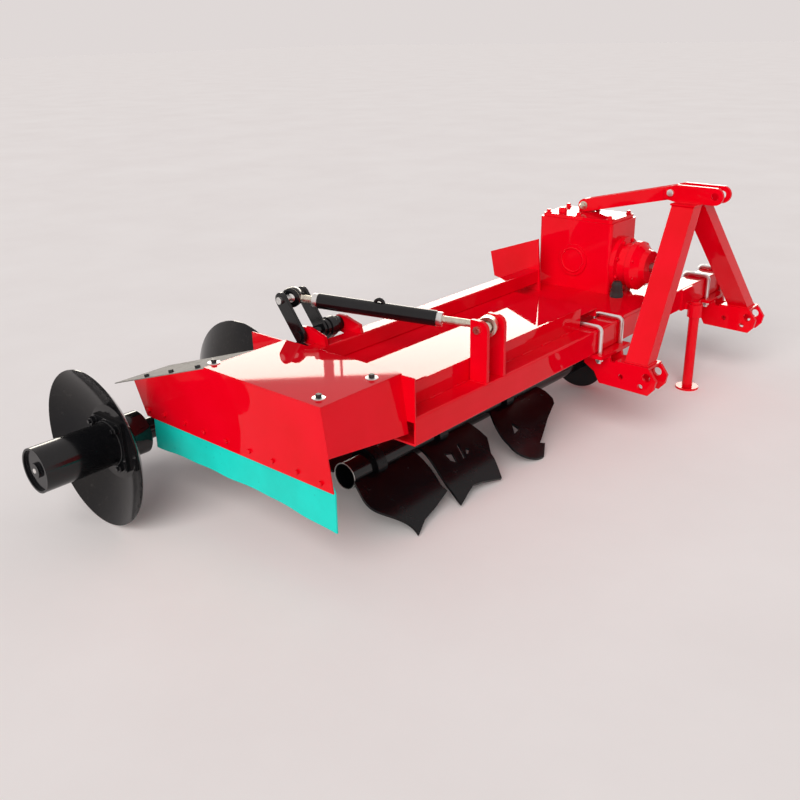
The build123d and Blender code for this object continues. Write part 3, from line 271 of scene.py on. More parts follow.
@dataclass(frozen=True)
class Finish:
    """A finish made from one node group and a Principled shader.

    Args:
        name: the material's name.
        group: the shader node group that gives colour, roughness and height.
        colours: the group's colour inputs by name.
        numbers: the group's number inputs by name.
        metallic: how metallic the surface is.
        shine: specular level of the surface.
        bump: depth of the surface's grain, in metres.
        edge: radius to which sharp edges look rounded, in metres.
    """

    name: str
    group: Tree
    colours: dict[str, Colour]
    numbers: dict[str, float]
    metallic: float = 0.0
    shine: float = 0.5
    bump: float = 0.0002
    edge: float = 0.0

    def build(self) -> Material:
        """Makes the material, with its pattern on Object coordinates."""
        material = bpy.data.materials.new(self.name)
        material.use_nodes = True
        tree = material.node_tree
        shader = tree.nodes["Principled BSDF"]
        shader.inputs["Metallic"].default_value = self.metallic
        shader.inputs["Specular IOR Level"].default_value = self.shine
        place = tree.nodes.new("ShaderNodeTexCoord")
        effect = tree.nodes.new("ShaderNodeGroup")
        effect.node_tree = self.group
        tree.links.new(place.outputs["Object"], effect.inputs["Coordinates"])
        for label, value in {**self.colours, **self.numbers}.items():
            set_input(tree, effect.inputs[label], value)
        tree.links.new(effect.outputs["Colour"], shader.inputs["Base Color"])
        tree.links.new(effect.outputs["Roughness"], shader.inputs["Roughness"])
        bump = tree.nodes.new("ShaderNodeBump")
        bump.inputs["Strength"].default_value = 1.0
        bump.inputs["Distance"].default_value = self.bump
        tree.links.new(effect.outputs["Height"], bump.inputs["Height"])
        if self.edge:
            bevel = tree.nodes.new("ShaderNodeBevel")
            bevel.samples = 4
            bevel.inputs["Radius"].default_value = self.edge
            tree.links.new(bevel.outputs["Normal"], bump.inputs["Normal"])
        tree.links.new(bump.outputs["Normal"], shader.inputs["Normal"])
        return material


RED_PAINT = Finish(
    "gloss_red_paint", PAINT_GROUP,
    {"Colour": (0.74, 0.0004, 0.010), "Deep": (0.66, 0.0003, 0.005)},
    {"Roughness": 0.025, "Dust": 0.0, "Peel": 460.0},
    shine=0.18, bump=0.000002, edge=0.0016,
).build()
BLACKS = {"Colour": (0.003, 0.003, 0.0035), "Deep": (0.006, 0.006, 0.007)}
BLACK_PAINT = Finish(
    "gloss_black_paint", PAINT_GROUP, BLACKS,
    {"Roughness": 0.12, "Dust": 0.06, "Peel": 380.0},
    shine=0.42, bump=0.00002, edge=0.0014,
).build()
DISC_PAINT = Finish(
    "polished_black_disc", PAINT_GROUP,
    {"Colour": (0.004, 0.004, 0.005), "Deep": (0.014, 0.012, 0.011)},
    {"Roughness": 0.12, "Dust": 0.08, "Peel": 300.0},
    shine=0.26, bump=0.00001, edge=0.0010,
).build()
SHARE_PAINT = Finish(
    "share_black_paint", PAINT_GROUP, BLACKS,
    {"Roughness": 0.22, "Dust": 0.05, "Peel": 260.0},
    shine=0.24, bump=0.00008, edge=0.0014,
).build()
ZINC = Finish(
    "yellow_zinc_steel", METAL_GROUP,
    {"Colour": (0.83, 0.78, 0.66), "Stain": (0.55, 0.48, 0.36)},
    {"Roughness": 0.26, "Grain": 420.0},
    metallic=1.0, bump=0.00003, edge=0.0008,
).build()
WHITE_ZINC = Finish(
    "white_zinc_steel", METAL_GROUP,
    {"Colour": (0.88, 0.88, 0.86), "Stain": (0.62, 0.62, 0.60)},
    {"Roughness": 0.32, "Grain": 420.0},
    metallic=1.0, bump=0.00003, edge=0.0008,
).build()
SHAFT_STEEL = Finish(
    "oiled_shaft_steel", METAL_GROUP,
    {"Colour": (0.55, 0.54, 0.52), "Stain": (0.30, 0.28, 0.25)},
    {"Roughness": 0.28, "Grain": 600.0},
    metallic=1.0, bump=0.00003, edge=0.0008,
).build()
BOLT_BLACK = Finish(
    "black_bolt_steel", METAL_GROUP,
    {"Colour": (0.035, 0.035, 0.037), "Stain": (0.09, 0.08, 0.07)},
    {"Roughness": 0.35, "Grain": 500.0},
    metallic=0.6, bump=0.00004, edge=0.0005,
).build()
GREY_SHEET = Finish(
    "thin_grey_sheet", METAL_GROUP,
    {"Colour": (0.24, 0.22, 0.20), "Stain": (0.15, 0.14, 0.13)},
    {"Roughness": 0.50, "Grain": 200.0},
    shine=0.12, bump=0.00006, edge=0.0006,
).build()
TURQUOISE = Finish(
    "turquoise_rubber", RUBBER_GROUP,
    {"Colour": (0.008, 0.60, 0.50), "Deep": (0.007, 0.52, 0.43), "Mud": (0.02, 0.30, 0.25)},
    {"Roughness": 0.42},
    shine=0.2, bump=0.00008, edge=0.0010,
).build()
BLACK_RUBBER = Finish(
    "black_rubber", RUBBER_GROUP,
    {"Colour": (0.02, 0.02, 0.02), "Deep": (0.012, 0.012, 0.012), "Mud": (0.10, 0.09, 0.08)},
    {"Roughness": 0.5},
    bump=0.00008,
).build()

NODE_FINISHES = {
    "guide_rear_sheet": GREY_SHEET,
    "input_shaft": SHAFT_STEEL,
    "hitch_u_bolts": WHITE_ZINC,
    "link_pin": ZINC,
    "crank_pin": WHITE_ZINC,
    "turnbuckle_front_rod": ZINC,
    "turnbuckle_rear_rod": ZINC,
    "rotor_share_right": SHARE_PAINT,
    "rotor_share_middle": SHARE_PAINT,
    "rotor_share_left": SHARE_PAINT,
    "roller_right_disc": DISC_PAINT,
    "roller_left_disc": DISC_PAINT,
}
SLOT_FINISHES = {
    Slot.RED.value: RED_PAINT,
    Slot.BLACK.value: BLACK_PAINT,
    Slot.ZINC.value: ZINC,
    Slot.SHEET.value: GREY_SHEET,
    Slot.FLAP.value: TURQUOISE,
}


def dress(piece: Piece, material: Material) -> None:
    """Gives a mesh object one material."""
    piece.data.materials.clear()
    piece.data.materials.append(material)


def dress_nodes() -> None:
    """Gives each CAD node its finish, by its own name or by its material slot."""
    slots = {part["node"]: part["material_slot"] for part in frame["record"]["subparts"]}
    for name, node in frame["nodes"].items():
        dress(node, NODE_FINISHES.get(name) or SLOT_FINISHES[slots[name]])
        LOG.info("finish %s: %s", name, node.data.materials[0].name)


# Modelling helpers, each working on one mesh that starts as a primitive, all sizes in metres

SAME_HEIGHT = 1e-5  # heights closer than this are one
LEVEL = 0.9  # faces whose normal's Z is over this look up


def clear_selection() -> None:
    """Leaves edit mode and deselects everything."""
    if bpy.context.object and bpy.context.object.mode != "OBJECT":
        bpy.ops.object.mode_set(mode="OBJECT")
    bpy.ops.object.select_all(action="DESELECT")


def select_only(piece: Piece) -> None:
    """Makes a piece the active object and the only selected one."""
    clear_selection()
    bpy.context.view_layer.objects.active = piece
    piece.select_set(True)


def select_where(piece: Piece, kind: str, test: Callable[[Vector, Vector], bool]) -> None:
    """Enters edit mode with the parts that pass a test selected.

    Args:
        piece: the mesh object.
        kind: EDGE or FACE.
        test: takes a part's middle and normal, and says whether it is selected.
    """
    select_only(piece)
    bpy.ops.object.mode_set(mode="EDIT")
    bpy.ops.mesh.select_mode(type=kind)
    bpy.ops.mesh.select_all(action="DESELECT")
    bpy.ops.object.mode_set(mode="OBJECT")
    mesh = piece.data
    if kind == "FACE":
        for face in mesh.polygons:
            face.select = test(face.center, face.normal)
    else:
        for edge in mesh.edges:
            first, second = (mesh.vertices[index] for index in edge.vertices)
            edge.select = test((first.co + second.co) / 2, (first.normal + second.normal) / 2)
    bpy.ops.object.mode_set(mode="EDIT")


def leave_edit(piece: Piece, smooth: float = 35.0) -> Piece:
    """Ends edit mode with outward normals and smooth shading below an angle in degrees."""
    bpy.ops.mesh.select_all(action="SELECT")
    bpy.ops.mesh.normals_make_consistent(inside=False)
    bpy.ops.object.mode_set(mode="OBJECT")
    bpy.ops.object.shade_smooth_by_angle(angle=math.radians(smooth))
    return piece


def shade_piece(piece: Piece, smooth: float = 35.0) -> Piece:
    """Turns a mesh's normals outward and shades it smooth below an angle in degrees."""
    select_where(piece, "FACE", lambda middle, normal: False)
    return leave_edit(piece, smooth)


def add_round(name: str, radius: float, depth: float, sides: int = 24, foot: float = 0.0) -> Piece:
    """Adds an upright cylinder on the Z axis, whose foot is at a height."""
    clear_selection()
    bpy.ops.mesh.primitive_cylinder_add(
        vertices=sides, radius=radius, depth=depth, location=(0, 0, foot + depth / 2)
    )
    piece = bpy.context.object
    piece.name = name
    bpy.ops.object.transform_apply()
    return piece


def add_torus(name: str, radius: float, thick: float, segments: tuple[int, int], middle: Vector | None = None,
              facing: Facing = Facing.UP) -> Piece:
    """Adds a smooth torus, with its segments counted along it and round it, at a middle or the origin."""
    clear_selection()
    bpy.ops.mesh.primitive_torus_add(
        major_radius=radius, minor_radius=thick, major_segments=segments[0], minor_segments=segments[1],
        location=middle or Vector((0, 0, 0)), rotation=(*facing.value, 0.0),
    )
    piece = bpy.context.object
    piece.name = name
    bpy.ops.object.transform_apply()
    bpy.ops.object.shade_smooth()
    return piece


def bevel_rim(piece: Piece, height: float, width: float, segments: int = 2) -> None:
    """Bevels the edges of an upright round piece at a height."""
    select_where(piece, "EDGE", lambda middle, normal: abs(middle.z - height) < SAME_HEIGHT)
    bpy.ops.mesh.bevel(offset=width, segments=segments, affect="EDGES")
    bpy.ops.object.mode_set(mode="OBJECT")


def raise_top(piece: Piece, inset: float, rise: float, smooth: float = 35.0) -> Piece:
    """Insets an upright piece's level top, lifts it, and shades the piece smooth below an angle."""
    select_where(piece, "FACE", lambda middle, normal: normal.z > LEVEL)
    bpy.ops.mesh.inset(thickness=inset)
    bpy.ops.transform.translate(value=(0, 0, rise))
    return leave_edit(piece, smooth)


def stand_along(piece: Piece, foot: Vector, along: Vector) -> None:
    """Moves an upright mesh's foot from the origin to a place and turns it to a direction."""
    turn = along.to_track_quat("Z", "Y").to_matrix().to_4x4()
    piece.data.transform(Matrix.Translation(foot) @ turn)


def ring_places(middle: Vector, across: Vector, radius: float, count: int, skip: float = 0.5) -> list[Vector]:
    """Places round an upright circle, the first so many steps past the level direction across."""
    up = Vector((0, 0, 1))
    angles = [2 * math.pi * (index + skip) / count for index in range(count)]
    return [middle + (across * math.cos(angle) + up * math.sin(angle)) * radius for angle in angles]


def join_pieces(name: str, pieces: Iterable[Piece]) -> Piece:
    """Joins meshes to one named object at the origin."""
    clear_selection()
    pieces = list(pieces)
    for piece in pieces:
        piece.select_set(True)
    bpy.context.view_layer.objects.active = pieces[0]
    if len(pieces) > 1:
        bpy.ops.object.join()
    joined = bpy.context.view_layer.objects.active
    joined.name = name
    joined.data.name = name
    bpy.ops.object.transform_apply()
    return joined


@dataclass(frozen=True)
class Disc:
    """Sizes of a small upright round piece with bevelled rims.

    Args:
        radius: its radius.
        depth: its height.
        bevel: width of the rim's bevel.
        sides: number of its sides.
        both: whether its lower rim is bevelled too.
    """

    radius: float
    depth: float
    bevel: float
    sides: int = 24
    both: bool = False

    def model(self, name: str) -> Piece:
        """The piece, with its foot at the origin."""
        piece = add_round(name, self.radius, self.depth, self.sides)
        if self.both:
            bevel_rim(piece, 0.0, self.bevel)
        bevel_rim(piece, self.depth, self.bevel)
        return shade_piece(piece)


@dataclass(frozen=True)
class Bolt:
    """Sizes of an upright hexagon bolt head on a washer, seated at height 0.

    Args:
        across: distance across the hexagon's corners.
        head: height of the head.
        washer: the washer's diameter, or 0 for none.
        stud: how far a thread's end stands out of the head.
    """

    across: float
    head: float
    washer: float = 0.0
    stud: float = 0.0

    def model(self) -> Piece:
        """The bolt at the origin, its small sizes in proportion to its head and washer."""
        parts = []
        seat = self.washer * 0.09
        if self.washer:
            parts.append(Disc(self.washer / 2, seat, seat * 0.35).model("washer"))
        head = add_round("head", self.across / 2, self.head, sides=6, foot=seat)
        parts.append(raise_top(head, inset=self.across * 0.07, rise=self.head * 0.12, smooth=28))
        if self.stud:
            top = seat + self.head * 1.05
            end = add_round("stud", self.across * 0.27, self.stud, sides=14, foot=top)
            bevel_rim(end, top + self.stud, self.across * 0.05, segments=1)
            parts.append(shade_piece(end))
        return join_pieces("bolt", parts)


def place_copies(name: str, model: Piece, places: Iterable[Vector], facing: Facing,
                 spin: random.Random | None = None, tilt: float = 0.0) -> Piece:
    """Copies a model to each place, joins the copies and removes the model.

    Args:
        name: the joined object's name.
        model: an upright model at the origin.
        places: where the copies' feet go, in metres.
        facing: the way that their tops point.
        spin: turns each copy about its own axis by chance.
        tilt: a further turn about the Y axis, in radians.

    Returns:
        The joined object.
    """
    about_x, about_y = facing.value
    turn = Matrix.Rotation(tilt, 4, "Y") @ Matrix.Rotation(about_y, 4, "Y") @ Matrix.Rotation(about_x, 4, "X")
    copies = []
    for place in places:
        own = Matrix.Rotation(spin.uniform(0, math.pi) if spin else 0.0, 4, "Z")
        copies.append(copy_mesh(model, Matrix.Translation(place) @ turn @ own))
    joined = join_pieces(name, copies)
    bpy.data.objects.remove(model)
    return joined


def copy_mesh(model: Piece, matrix: Matrix) -> Piece:
    """Copies an object with its own mesh, transformed by a matrix, into the scene."""
    copy = model.copy()
    copy.data = model.data.copy()
    bpy.context.scene.collection.objects.link(copy)
    copy.data.transform(matrix)
    return copy


def finish_piece(piece: Piece, slot: Slot, material: Material, body: str = "root",
                 replaces: Sequence[str] = ()) -> None:
    """Dresses a piece and makes it ride on its body.

    Args:
        piece: the object, at the origin.
        slot: the record's material slot; not used.
        material: its finish.
        body: the CAD body that carries it.
        replaces: the CAD nodes that it stands for.
    """
    dress(piece, material)
    if replaces:
        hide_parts(*replaces)
    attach(piece, body)
    LOG.info("piece %s on %s, %d faces", piece.name, body, len(piece.data.polygons))


def weld_bead(name: str, routes: Iterable[Run], radius: float, seed: int) -> Piece:
    """Models ripples of weld along straight routes.

    Args:
        name: the bead's name.
        routes: start and end of each run, in metres.
        radius: half the bead's width.
        seed: start of the random sizes.

    Returns:
        All the runs, joined.
    """
    step = 0.75  # distance of two drops, and a drop's length, over the radius
    flatness = 0.85  # height of a drop over its width
    chance = random.Random(seed)
    clear_selection()
    bpy.ops.mesh.primitive_ico_sphere_add(subdivisions=1, radius=radius, location=(0, 0, 0))
    drop = bpy.context.object
    bpy.ops.object.shade_smooth()
    copies = []
    for start, end in routes:
        count = max(2, int((end - start).length / (radius * step)))
        turn = (end - start).normalized().to_track_quat("X", "Z").to_matrix().to_4x4()
        for index in range(count + 1):
            size = chance.uniform(0.88, 1.12)
            shape = Matrix.Diagonal((step, size, flatness * size, 1.0))
            spot = start.lerp(end, index / count)
            copies.append(copy_mesh(drop, Matrix.Translation(spot) @ turn @ shape))
    joined = join_pieces(name, copies)
    bpy.data.objects.remove(drop)
    return joined


# The machine's assemblies: places and runs in millimetres from the datum, all other sizes in metres


@dataclass(frozen=True)
class GuideBox:
    """Right-hand guide box: its rubber flap, bolts and washers."""

    outer: float = -1695.0
    flap_edge: Pairs = (
        # share of the flap's length from its front end, rise of its lower edge in millimetres
        (0.0, 0.0), (0.18, 9.0), (0.39, 20.0), (0.62, 21.0), (0.86, 17.0), (1.0, 15.0),
    )
    flap_grid: tuple[int, int] = (60, 9)  # columns, rows
    flap_notch: float = -40.0
    flap_notch_low: float = 289.0
    flap_thick: float = 0.0045
    hem_height: float = 0.0012
    hem_turn: float = 31.0
    wave_depth: float = 0.0022
    wave_turn: float = 13.0
    wave_start: float = 0.6
    wave_reach: float = 0.10
    edge_bolts: Pairs = (
        # x, z
        (-56.0, 307.0), (-140.0, 311.0), (-231.0, 313.0), (-321.0, 314.0), (-415.0, 316.0),
        (-510.0, 317.0), (-597.0, 318.0), (-693.0, 316.0), (-768.0, 312.0),
    )
    top: float = 508.0
    top_bolts: Pairs = ((-89.0, -1656.0), (-80.0, -1480.0), (-487.0, -1657.0))
    slope_bolts: Sequence[float] = (-527.0, -655.0, -780.0)
    slope_line: float = -1681.0
    slope_start: Pair = (-482.0, 506.5)  # x, z
    slope: float = math.atan2(118.0, 354.0)
    washer: Disc = Disc(0.017, 0.0022, 0.0006, sides=28)
    edge_bolt: Bolt = Bolt(0.013, 0.006)
    top_bolt: Bolt = Bolt(0.017, 0.008)
    slope_bolt: Bolt = Bolt(0.015, 0.008)
    seed: int = 4

    def edge_rise(self, share: float) -> float:
        """How far the flap's lower edge lies above its lowest corner, in millimetres."""
        rise = self.flap_edge[-1][1]
        for (start, low), (end, high) in zip(self.flap_edge, self.flap_edge[1:]):
            if start <= share <= end:
                rise = low + (high - low) * (share - start) / (end - start)
        return rise

    def build_flap(self) -> None:
        """The rubber flap, whose hanging part waves a little between its bolts."""
        low, high = node_box("guide_flap")
        columns, rows = self.flap_grid
        clear_selection()
        bpy.ops.mesh.primitive_grid_add(
            x_subdivisions=columns, y_subdivisions=rows, size=1.0, location=(0, 0, 0)
        )
        flap = bpy.context.object
        flap.name = "rubber_flap"
        notch = DATUM.point(self.flap_notch, 0, 0).x
        middle = (low.y + high.y) / 2
        for vertex in flap.data.vertices:
            along = 0.5 - vertex.co.x
            rise = vertex.co.y + 0.5
            x = high.x - (high.x - low.x) * along
            bottom = low.z + self.edge_rise(along) * MM + self.hem_height * math.sin(along * self.hem_turn)
            drop = max(0.0, (x - notch) / (high.x - notch))
            top = high.z - (high.z - self.flap_notch_low * MM) * drop
            z = bottom + (top - bottom) * rise
            free = max(0.0, 1.0 - (z - bottom) / self.wave_reach)
            wave = self.wave_depth * math.sin(along * self.wave_turn + self.wave_start) * free
            vertex.co = Vector((x, middle - wave, z))
        select_only(flap)
        solid = flap.modifiers.new("thickness", "SOLIDIFY")
        solid.thickness = self.flap_thick
        solid.offset = 0.0
        bpy.ops.object.modifier_apply(modifier=solid.name)
        shade_piece(flap, 40)
        finish_piece(flap, Slot.FLAP, TURQUOISE, replaces=["guide_flap"])

    def build_bolts(self) -> None:
        """Bolts along the panel's lower edge, on the top plate and along the sloping edge."""
        chance = random.Random(self.seed)
        edge = [DATUM.point(x, self.outer, z) for x, z in self.edge_bolts]
        heads = place_copies("panel_edge_bolts", self.edge_bolt.model(), edge, Facing.RIGHT, chance)
        finish_piece(heads, Slot.RED, RED_PAINT)
        top = [DATUM.point(x, y, self.top) for x, y in self.top_bolts]
        washers = place_copies("top_plate_washers", self.washer.model("washer"), top, Facing.UP)
        finish_piece(washers, Slot.ZINC, WHITE_ZINC)
        raised = [place + Vector((0, 0, self.washer.depth)) for place in top]
        studs = place_copies("top_plate_bolts", self.top_bolt.model(), raised, Facing.UP, chance)
        finish_piece(studs, Slot.BLACK, BOLT_BLACK)
        front, height = self.slope_start
        steep = math.tan(self.slope)
        sloping = [DATUM.point(x, self.slope_line, height - (front - x) * steep) for x in self.slope_bolts]
        rear = place_copies(
            "sloping_edge_bolts", self.slope_bolt.model(), sloping, Facing.UP, chance, tilt=-self.slope
        )
        finish_piece(rear, Slot.BLACK, BOLT_BLACK)

    def build(self) -> None:
        """Builds all the box's pieces."""
        self.build_flap()
        self.build_bolts()


@dataclass(frozen=True)
class Gearbox:
    """Bolts, filler plug, boss ring and rubber boot of the gearbox, its lid and its input housing."""

    lid_top: float = 670.0
    lid_inset: float = 0.016
    lid_bolt: Bolt = Bolt(0.017, 0.009, washer=0.024)
    lid_seed: int = 9
    filler_place: Pair = (0.055, 0.050)  # from the lid's lowest corner along x, y
    filler_radius: float = 0.016
    filler_height: float = 0.012
    filler_step: Pair = (0.004, 0.006)  # inset and rise of its top
    boss_middle: Triple = (-320.0, -131.0, 512.0)
    boss_radius: float = 0.044
    boss_bead: float = 0.0035
    housing_rings: Pairs = (
        # x of the ring's face, distance of its bolts from the housing's outside
        (-152.0, 0.010), (-94.0, 0.019),
    )
    housing_count: int = 8
    housing_bolt: Bolt = Bolt(0.015, 0.008)
    housing_seed: int = 12
    boot_foot: Triple = (-132.0, -128.0, 403.0)
    boot_radius: float = 0.024
    boot_base: float = 0.012
    boot_ribs: Pairs = (
        # rise, width over the width below
        (0.010, 0.84), (0.004, 1.10), (0.012, 0.82), (0.004, 1.10), (0.014, 0.72),
    )

    def build(self) -> None:
        """Builds the lid's bolts and plug, the boss ring, the housing's bolts and the boot."""
        low, high = node_box("gearbox_lid")
        top = self.lid_top * MM
        xs = [low.x + self.lid_inset, (low.x + high.x) / 2, high.x - self.lid_inset]
        ys = [low.y + self.lid_inset, high.y - self.lid_inset]
        places = [Vector((x, y, top)) for x in xs for y in ys]
        chance = random.Random(self.lid_seed)
        lid = place_copies("gearbox_lid_bolts", self.lid_bolt.model(), places, Facing.UP, chance)
        finish_piece(lid, Slot.RED, RED_PAINT)
        filler = add_round("filler", self.filler_radius, self.filler_height, sides=20)
        raise_top(filler, *self.filler_step)
        ahead, aside = self.filler_place
        plug = place_copies("filler_plug", filler, [Vector((low.x + ahead, low.y + aside, top))], Facing.UP)
        finish_piece(plug, Slot.RED, RED_PAINT)
        middle = DATUM.point(*self.boss_middle)
        ring = add_torus(
            "gearbox_boss_ring", self.boss_radius, self.boss_bead, (48, 10), middle, Facing.RIGHT
        )
        finish_piece(ring, Slot.RED, RED_PAINT)
        self.build_housing_bolts()
        self.build_boot()

    def build_housing_bolts(self) -> None:
        """Ring of bolts on the input housing's flange and on its front ring."""
        low, high = node_box("input_housing")
        middle = (low + high) / 2
        places = []
        for x, inset in self.housing_rings:
            face = Vector((DATUM.point(x, 0, 0).x, middle.y, middle.z))
            radius = (high.z - low.z) / 2 - inset
            places += ring_places(face, Vector((0, 1, 0)), radius, self.housing_count)
        chance = random.Random(self.housing_seed)
        heads = place_copies("input_housing_bolts", self.housing_bolt.model(), places, Facing.FORWARD, chance)
        finish_piece(heads, Slot.RED, RED_PAINT)

    def build_boot(self) -> None:
        """Black ribbed boot that stands on the saddle plate beside the gearbox."""
        boot = add_round("rubber_boot", self.boot_radius, self.boot_base)
        for rise, scale in self.boot_ribs:
            top = max(vertex.co.z for vertex in boot.data.vertices) - SAME_HEIGHT
            select_where(boot, "FACE", lambda middle, normal: normal.z > LEVEL and middle.z > top)
            bpy.ops.mesh.extrude_region_move(TRANSFORM_OT_translate={"value": (0, 0, rise)})
            bpy.ops.transform.resize(value=(scale, scale, 1.0))
            bpy.ops.object.mode_set(mode="OBJECT")
        shade_piece(boot, 50)
        piece = place_copies("rubber_boot", boot, [DATUM.point(*self.boot_foot)], Facing.UP)
        finish_piece(piece, Slot.BLACK, BLACK_RUBBER)


@dataclass(frozen=True)
class Hitch:
    """Bolts, pin end and welds of the mast, the hitch brackets, the link lugs and the skirt plate."""

    brace_place: Pair = (-345.0, 694.0)  # x, z
    brace_side: float = 26.0
    brace_bolt: Bolt = Bolt(0.024, 0.011, washer=0.032, stud=0.006)
    brace_nut: Bolt = Bolt(0.024, 0.011, washer=0.032)
    seed: int = 21
    pin_place: Triple = (-2.0, -36.0, 774.0)
    pin_end: Disc = Disc(0.0125, 0.007, 0.002, sides=32)
    weld: float = 0.0045
    stitch_weld: float = 0.0035
    # Weld runs along x: back, front, distance to each side of the middle, z
    head_weld: Sequence[float] = (18.0, 106.0, 36.5, 745.0)
    leg_weld: Sequence[float] = (84.0, 160.0, 33.0, 291.0)
    leg_middle: float = 412.5
    leg_front: Pair = (162.5, 31.0)  # x, half its length along y
    lug_weld: Triple = (-56.0, -2.0, 393.0)  # back, front, z
    lug_sides: Pair = (-1101.0, -1008.5)
    lug_front: Triple = (0.5, -1100.0, -1089.0)  # x, right end, left end
    stitch_line: Pair = (-59.5, 394.0)  # x, z
    stitch_starts: Sequence[int] = range(-1385, -560, 110)
    stitch_length: float = 46.0
    stitch_gap: Pair = (-1125.0, -985.0)

    def build(self) -> None:
        """Builds the bolts, the pin's end and the welds."""
        chance = random.Random(self.seed)
        x, z = self.brace_place
        near = [DATUM.point(x, -self.brace_side, z)]
        brace = place_copies("brace_bolt", self.brace_bolt.model(), near, Facing.RIGHT, chance)
        finish_piece(brace, Slot.ZINC, ZINC)
        pin = self.pin_end.model("pin_end")
        head = place_copies("mast_pin_end", pin, [DATUM.point(*self.pin_place)], Facing.RIGHT)
        finish_piece(head, Slot.ZINC, WHITE_ZINC)
        far = [DATUM.point(x, self.brace_side, z)]
        nut = place_copies("brace_nut", self.brace_nut.model(), far, Facing.LEFT, chance)
        finish_piece(nut, Slot.RED, RED_PAINT)
        beads = weld_bead("hitch_welds", self.weld_runs(), self.weld, seed=3)
        finish_piece(beads, Slot.RED, RED_PAINT)
        skirt = weld_bead("skirt_stitch_welds", self.stitch_runs(), self.stitch_weld, seed=5)
        finish_piece(skirt, Slot.RED, RED_PAINT)

    def weld_runs(self) -> list[Run]:
        """Weld runs under the mast head, round the legs' feet and along the lugs."""
        point = DATUM.point
        back, front, side, z = self.head_weld
        runs = [(point(back, y, z), point(front, y, z)) for y in (-side, side)]
        back, front, side, z = self.leg_weld
        x, half = self.leg_front
        for middle in (-self.leg_middle, self.leg_middle):
            runs += [(point(back, y, z), point(front, y, z)) for y in (middle - side, middle + side)]
            runs.append((point(x, middle - half, z), point(x, middle + half, z)))
        back, front, z = self.lug_weld
        runs += [(point(back, y, z), point(front, y, z)) for y in self.lug_sides]
        x, right, left = self.lug_front
        runs.append((point(x, right, z), point(x, left, z)))
        return runs

    def stitch_runs(self) -> list[Run]:
        """Short weld runs between the beam and the skirt plate, with none at the lugs."""
        x, z = self.stitch_line
        low, high = self.stitch_gap
        starts = [y for y in self.stitch_starts if not low < y < high]
        return [(DATUM.point(x, y, z), DATUM.point(x, y + self.stitch_length, z)) for y in starts]


@dataclass(frozen=True)
class Rotor:
    """Bright worn rim at the rotor tube's open end."""

    rim: float = 0.0013

    def build(self) -> None:
        """Builds the rim from the tube's own box."""
        low, high = node_box("rotor_tube")
        middle = (low + high) / 2
        end = Vector((middle.x, low.y, middle.z))
        radius = (high.z - low.z) / 2 - self.rim
        rim = add_torus("rotor_tube_rim", radius, self.rim, (64, 8), end, Facing.RIGHT)
        finish_piece(rim, Slot.BLACK, SHAFT_STEEL, "rotor")


@dataclass(frozen=True)
class Roller:
    """Bolts, weld, end plug and grease nipple of the forming roller."""

    flange_bolt: Bolt = Bolt(0.024, 0.012, washer=0.03, stud=0.008)
    flange_reach: float = 0.058
    weld: float = 0.005
    weld_reach: float = 0.0665
    weld_runs: int = 32
    weld_inset: float = 0.001
    disc_bolt: Bolt = Bolt(0.022, 0.010, washer=0.028)
    disc_reach: float = 0.078
    seed: int = 31
    plug: Disc = Disc(0.0212, 0.012, 0.003, sides=40)
    plug_seat: float = 0.018
    nipple: Disc = Disc(0.0075, 0.010, 0.003, sides=20)
    nipple_seat: float = 0.011

    def build(self) -> None:
        """Builds the flange's bolts, the weld round the drum, the plug and the left disc's bolts."""
        low, high = node_box("roller_hub_flange")
        axis = (low + high) / 2
        across = Vector((1, 0, 0))
        chance = random.Random(self.seed)
        sides = (-self.flange_reach, self.flange_reach)
        places = [Vector((axis.x + dx, low.y, axis.z + dz)) for dx in sides for dz in sides]
        heads = place_copies("hub_flange_bolts", self.flange_bolt.model(), places, Facing.RIGHT, chance)
        finish_piece(heads, Slot.BLACK, BLACK_PAINT, "forming_roller")
        face = Vector((axis.x, low.y - self.weld_inset, axis.z))
        corners = ring_places(face, across, self.weld_reach, self.weld_runs, skip=0.0)
        bead = weld_bead("drum_weld", zip(corners, corners[1:] + corners[:1]), self.weld, seed=8)
        finish_piece(bead, Slot.BLACK, BLACK_PAINT, "forming_roller")
        self.build_end_plug(Vector((axis.x, node_box("roller_drum")[0].y, axis.z)))
        hub = Vector((axis.x, node_box("roller_left_disc")[0].y, axis.z))
        places = ring_places(hub, across, self.disc_reach, 4)
        bolts = place_copies("left_disc_bolts", self.disc_bolt.model(), places, Facing.RIGHT, chance)
        finish_piece(bolts, Slot.BLACK, BLACK_PAINT, "forming_roller")

    def build_end_plug(self, end: Vector) -> None:
        """Plug in the drum's end cap, with a bright grease nipple, from the middle of the drum's end."""
        seat = end + Vector((0, self.plug_seat, 0))
        plug = place_copies("drum_end_plug", self.plug.model("plug"), [seat], Facing.RIGHT)
        finish_piece(plug, Slot.BLACK, BLACK_PAINT, "forming_roller")
        face = seat - Vector((0, self.nipple_seat, 0))
        nipple = place_copies("grease_nipple", self.nipple.model("nipple"), [face], Facing.RIGHT)
        finish_piece(nipple, Slot.ZINC, WHITE_ZINC, "forming_roller")


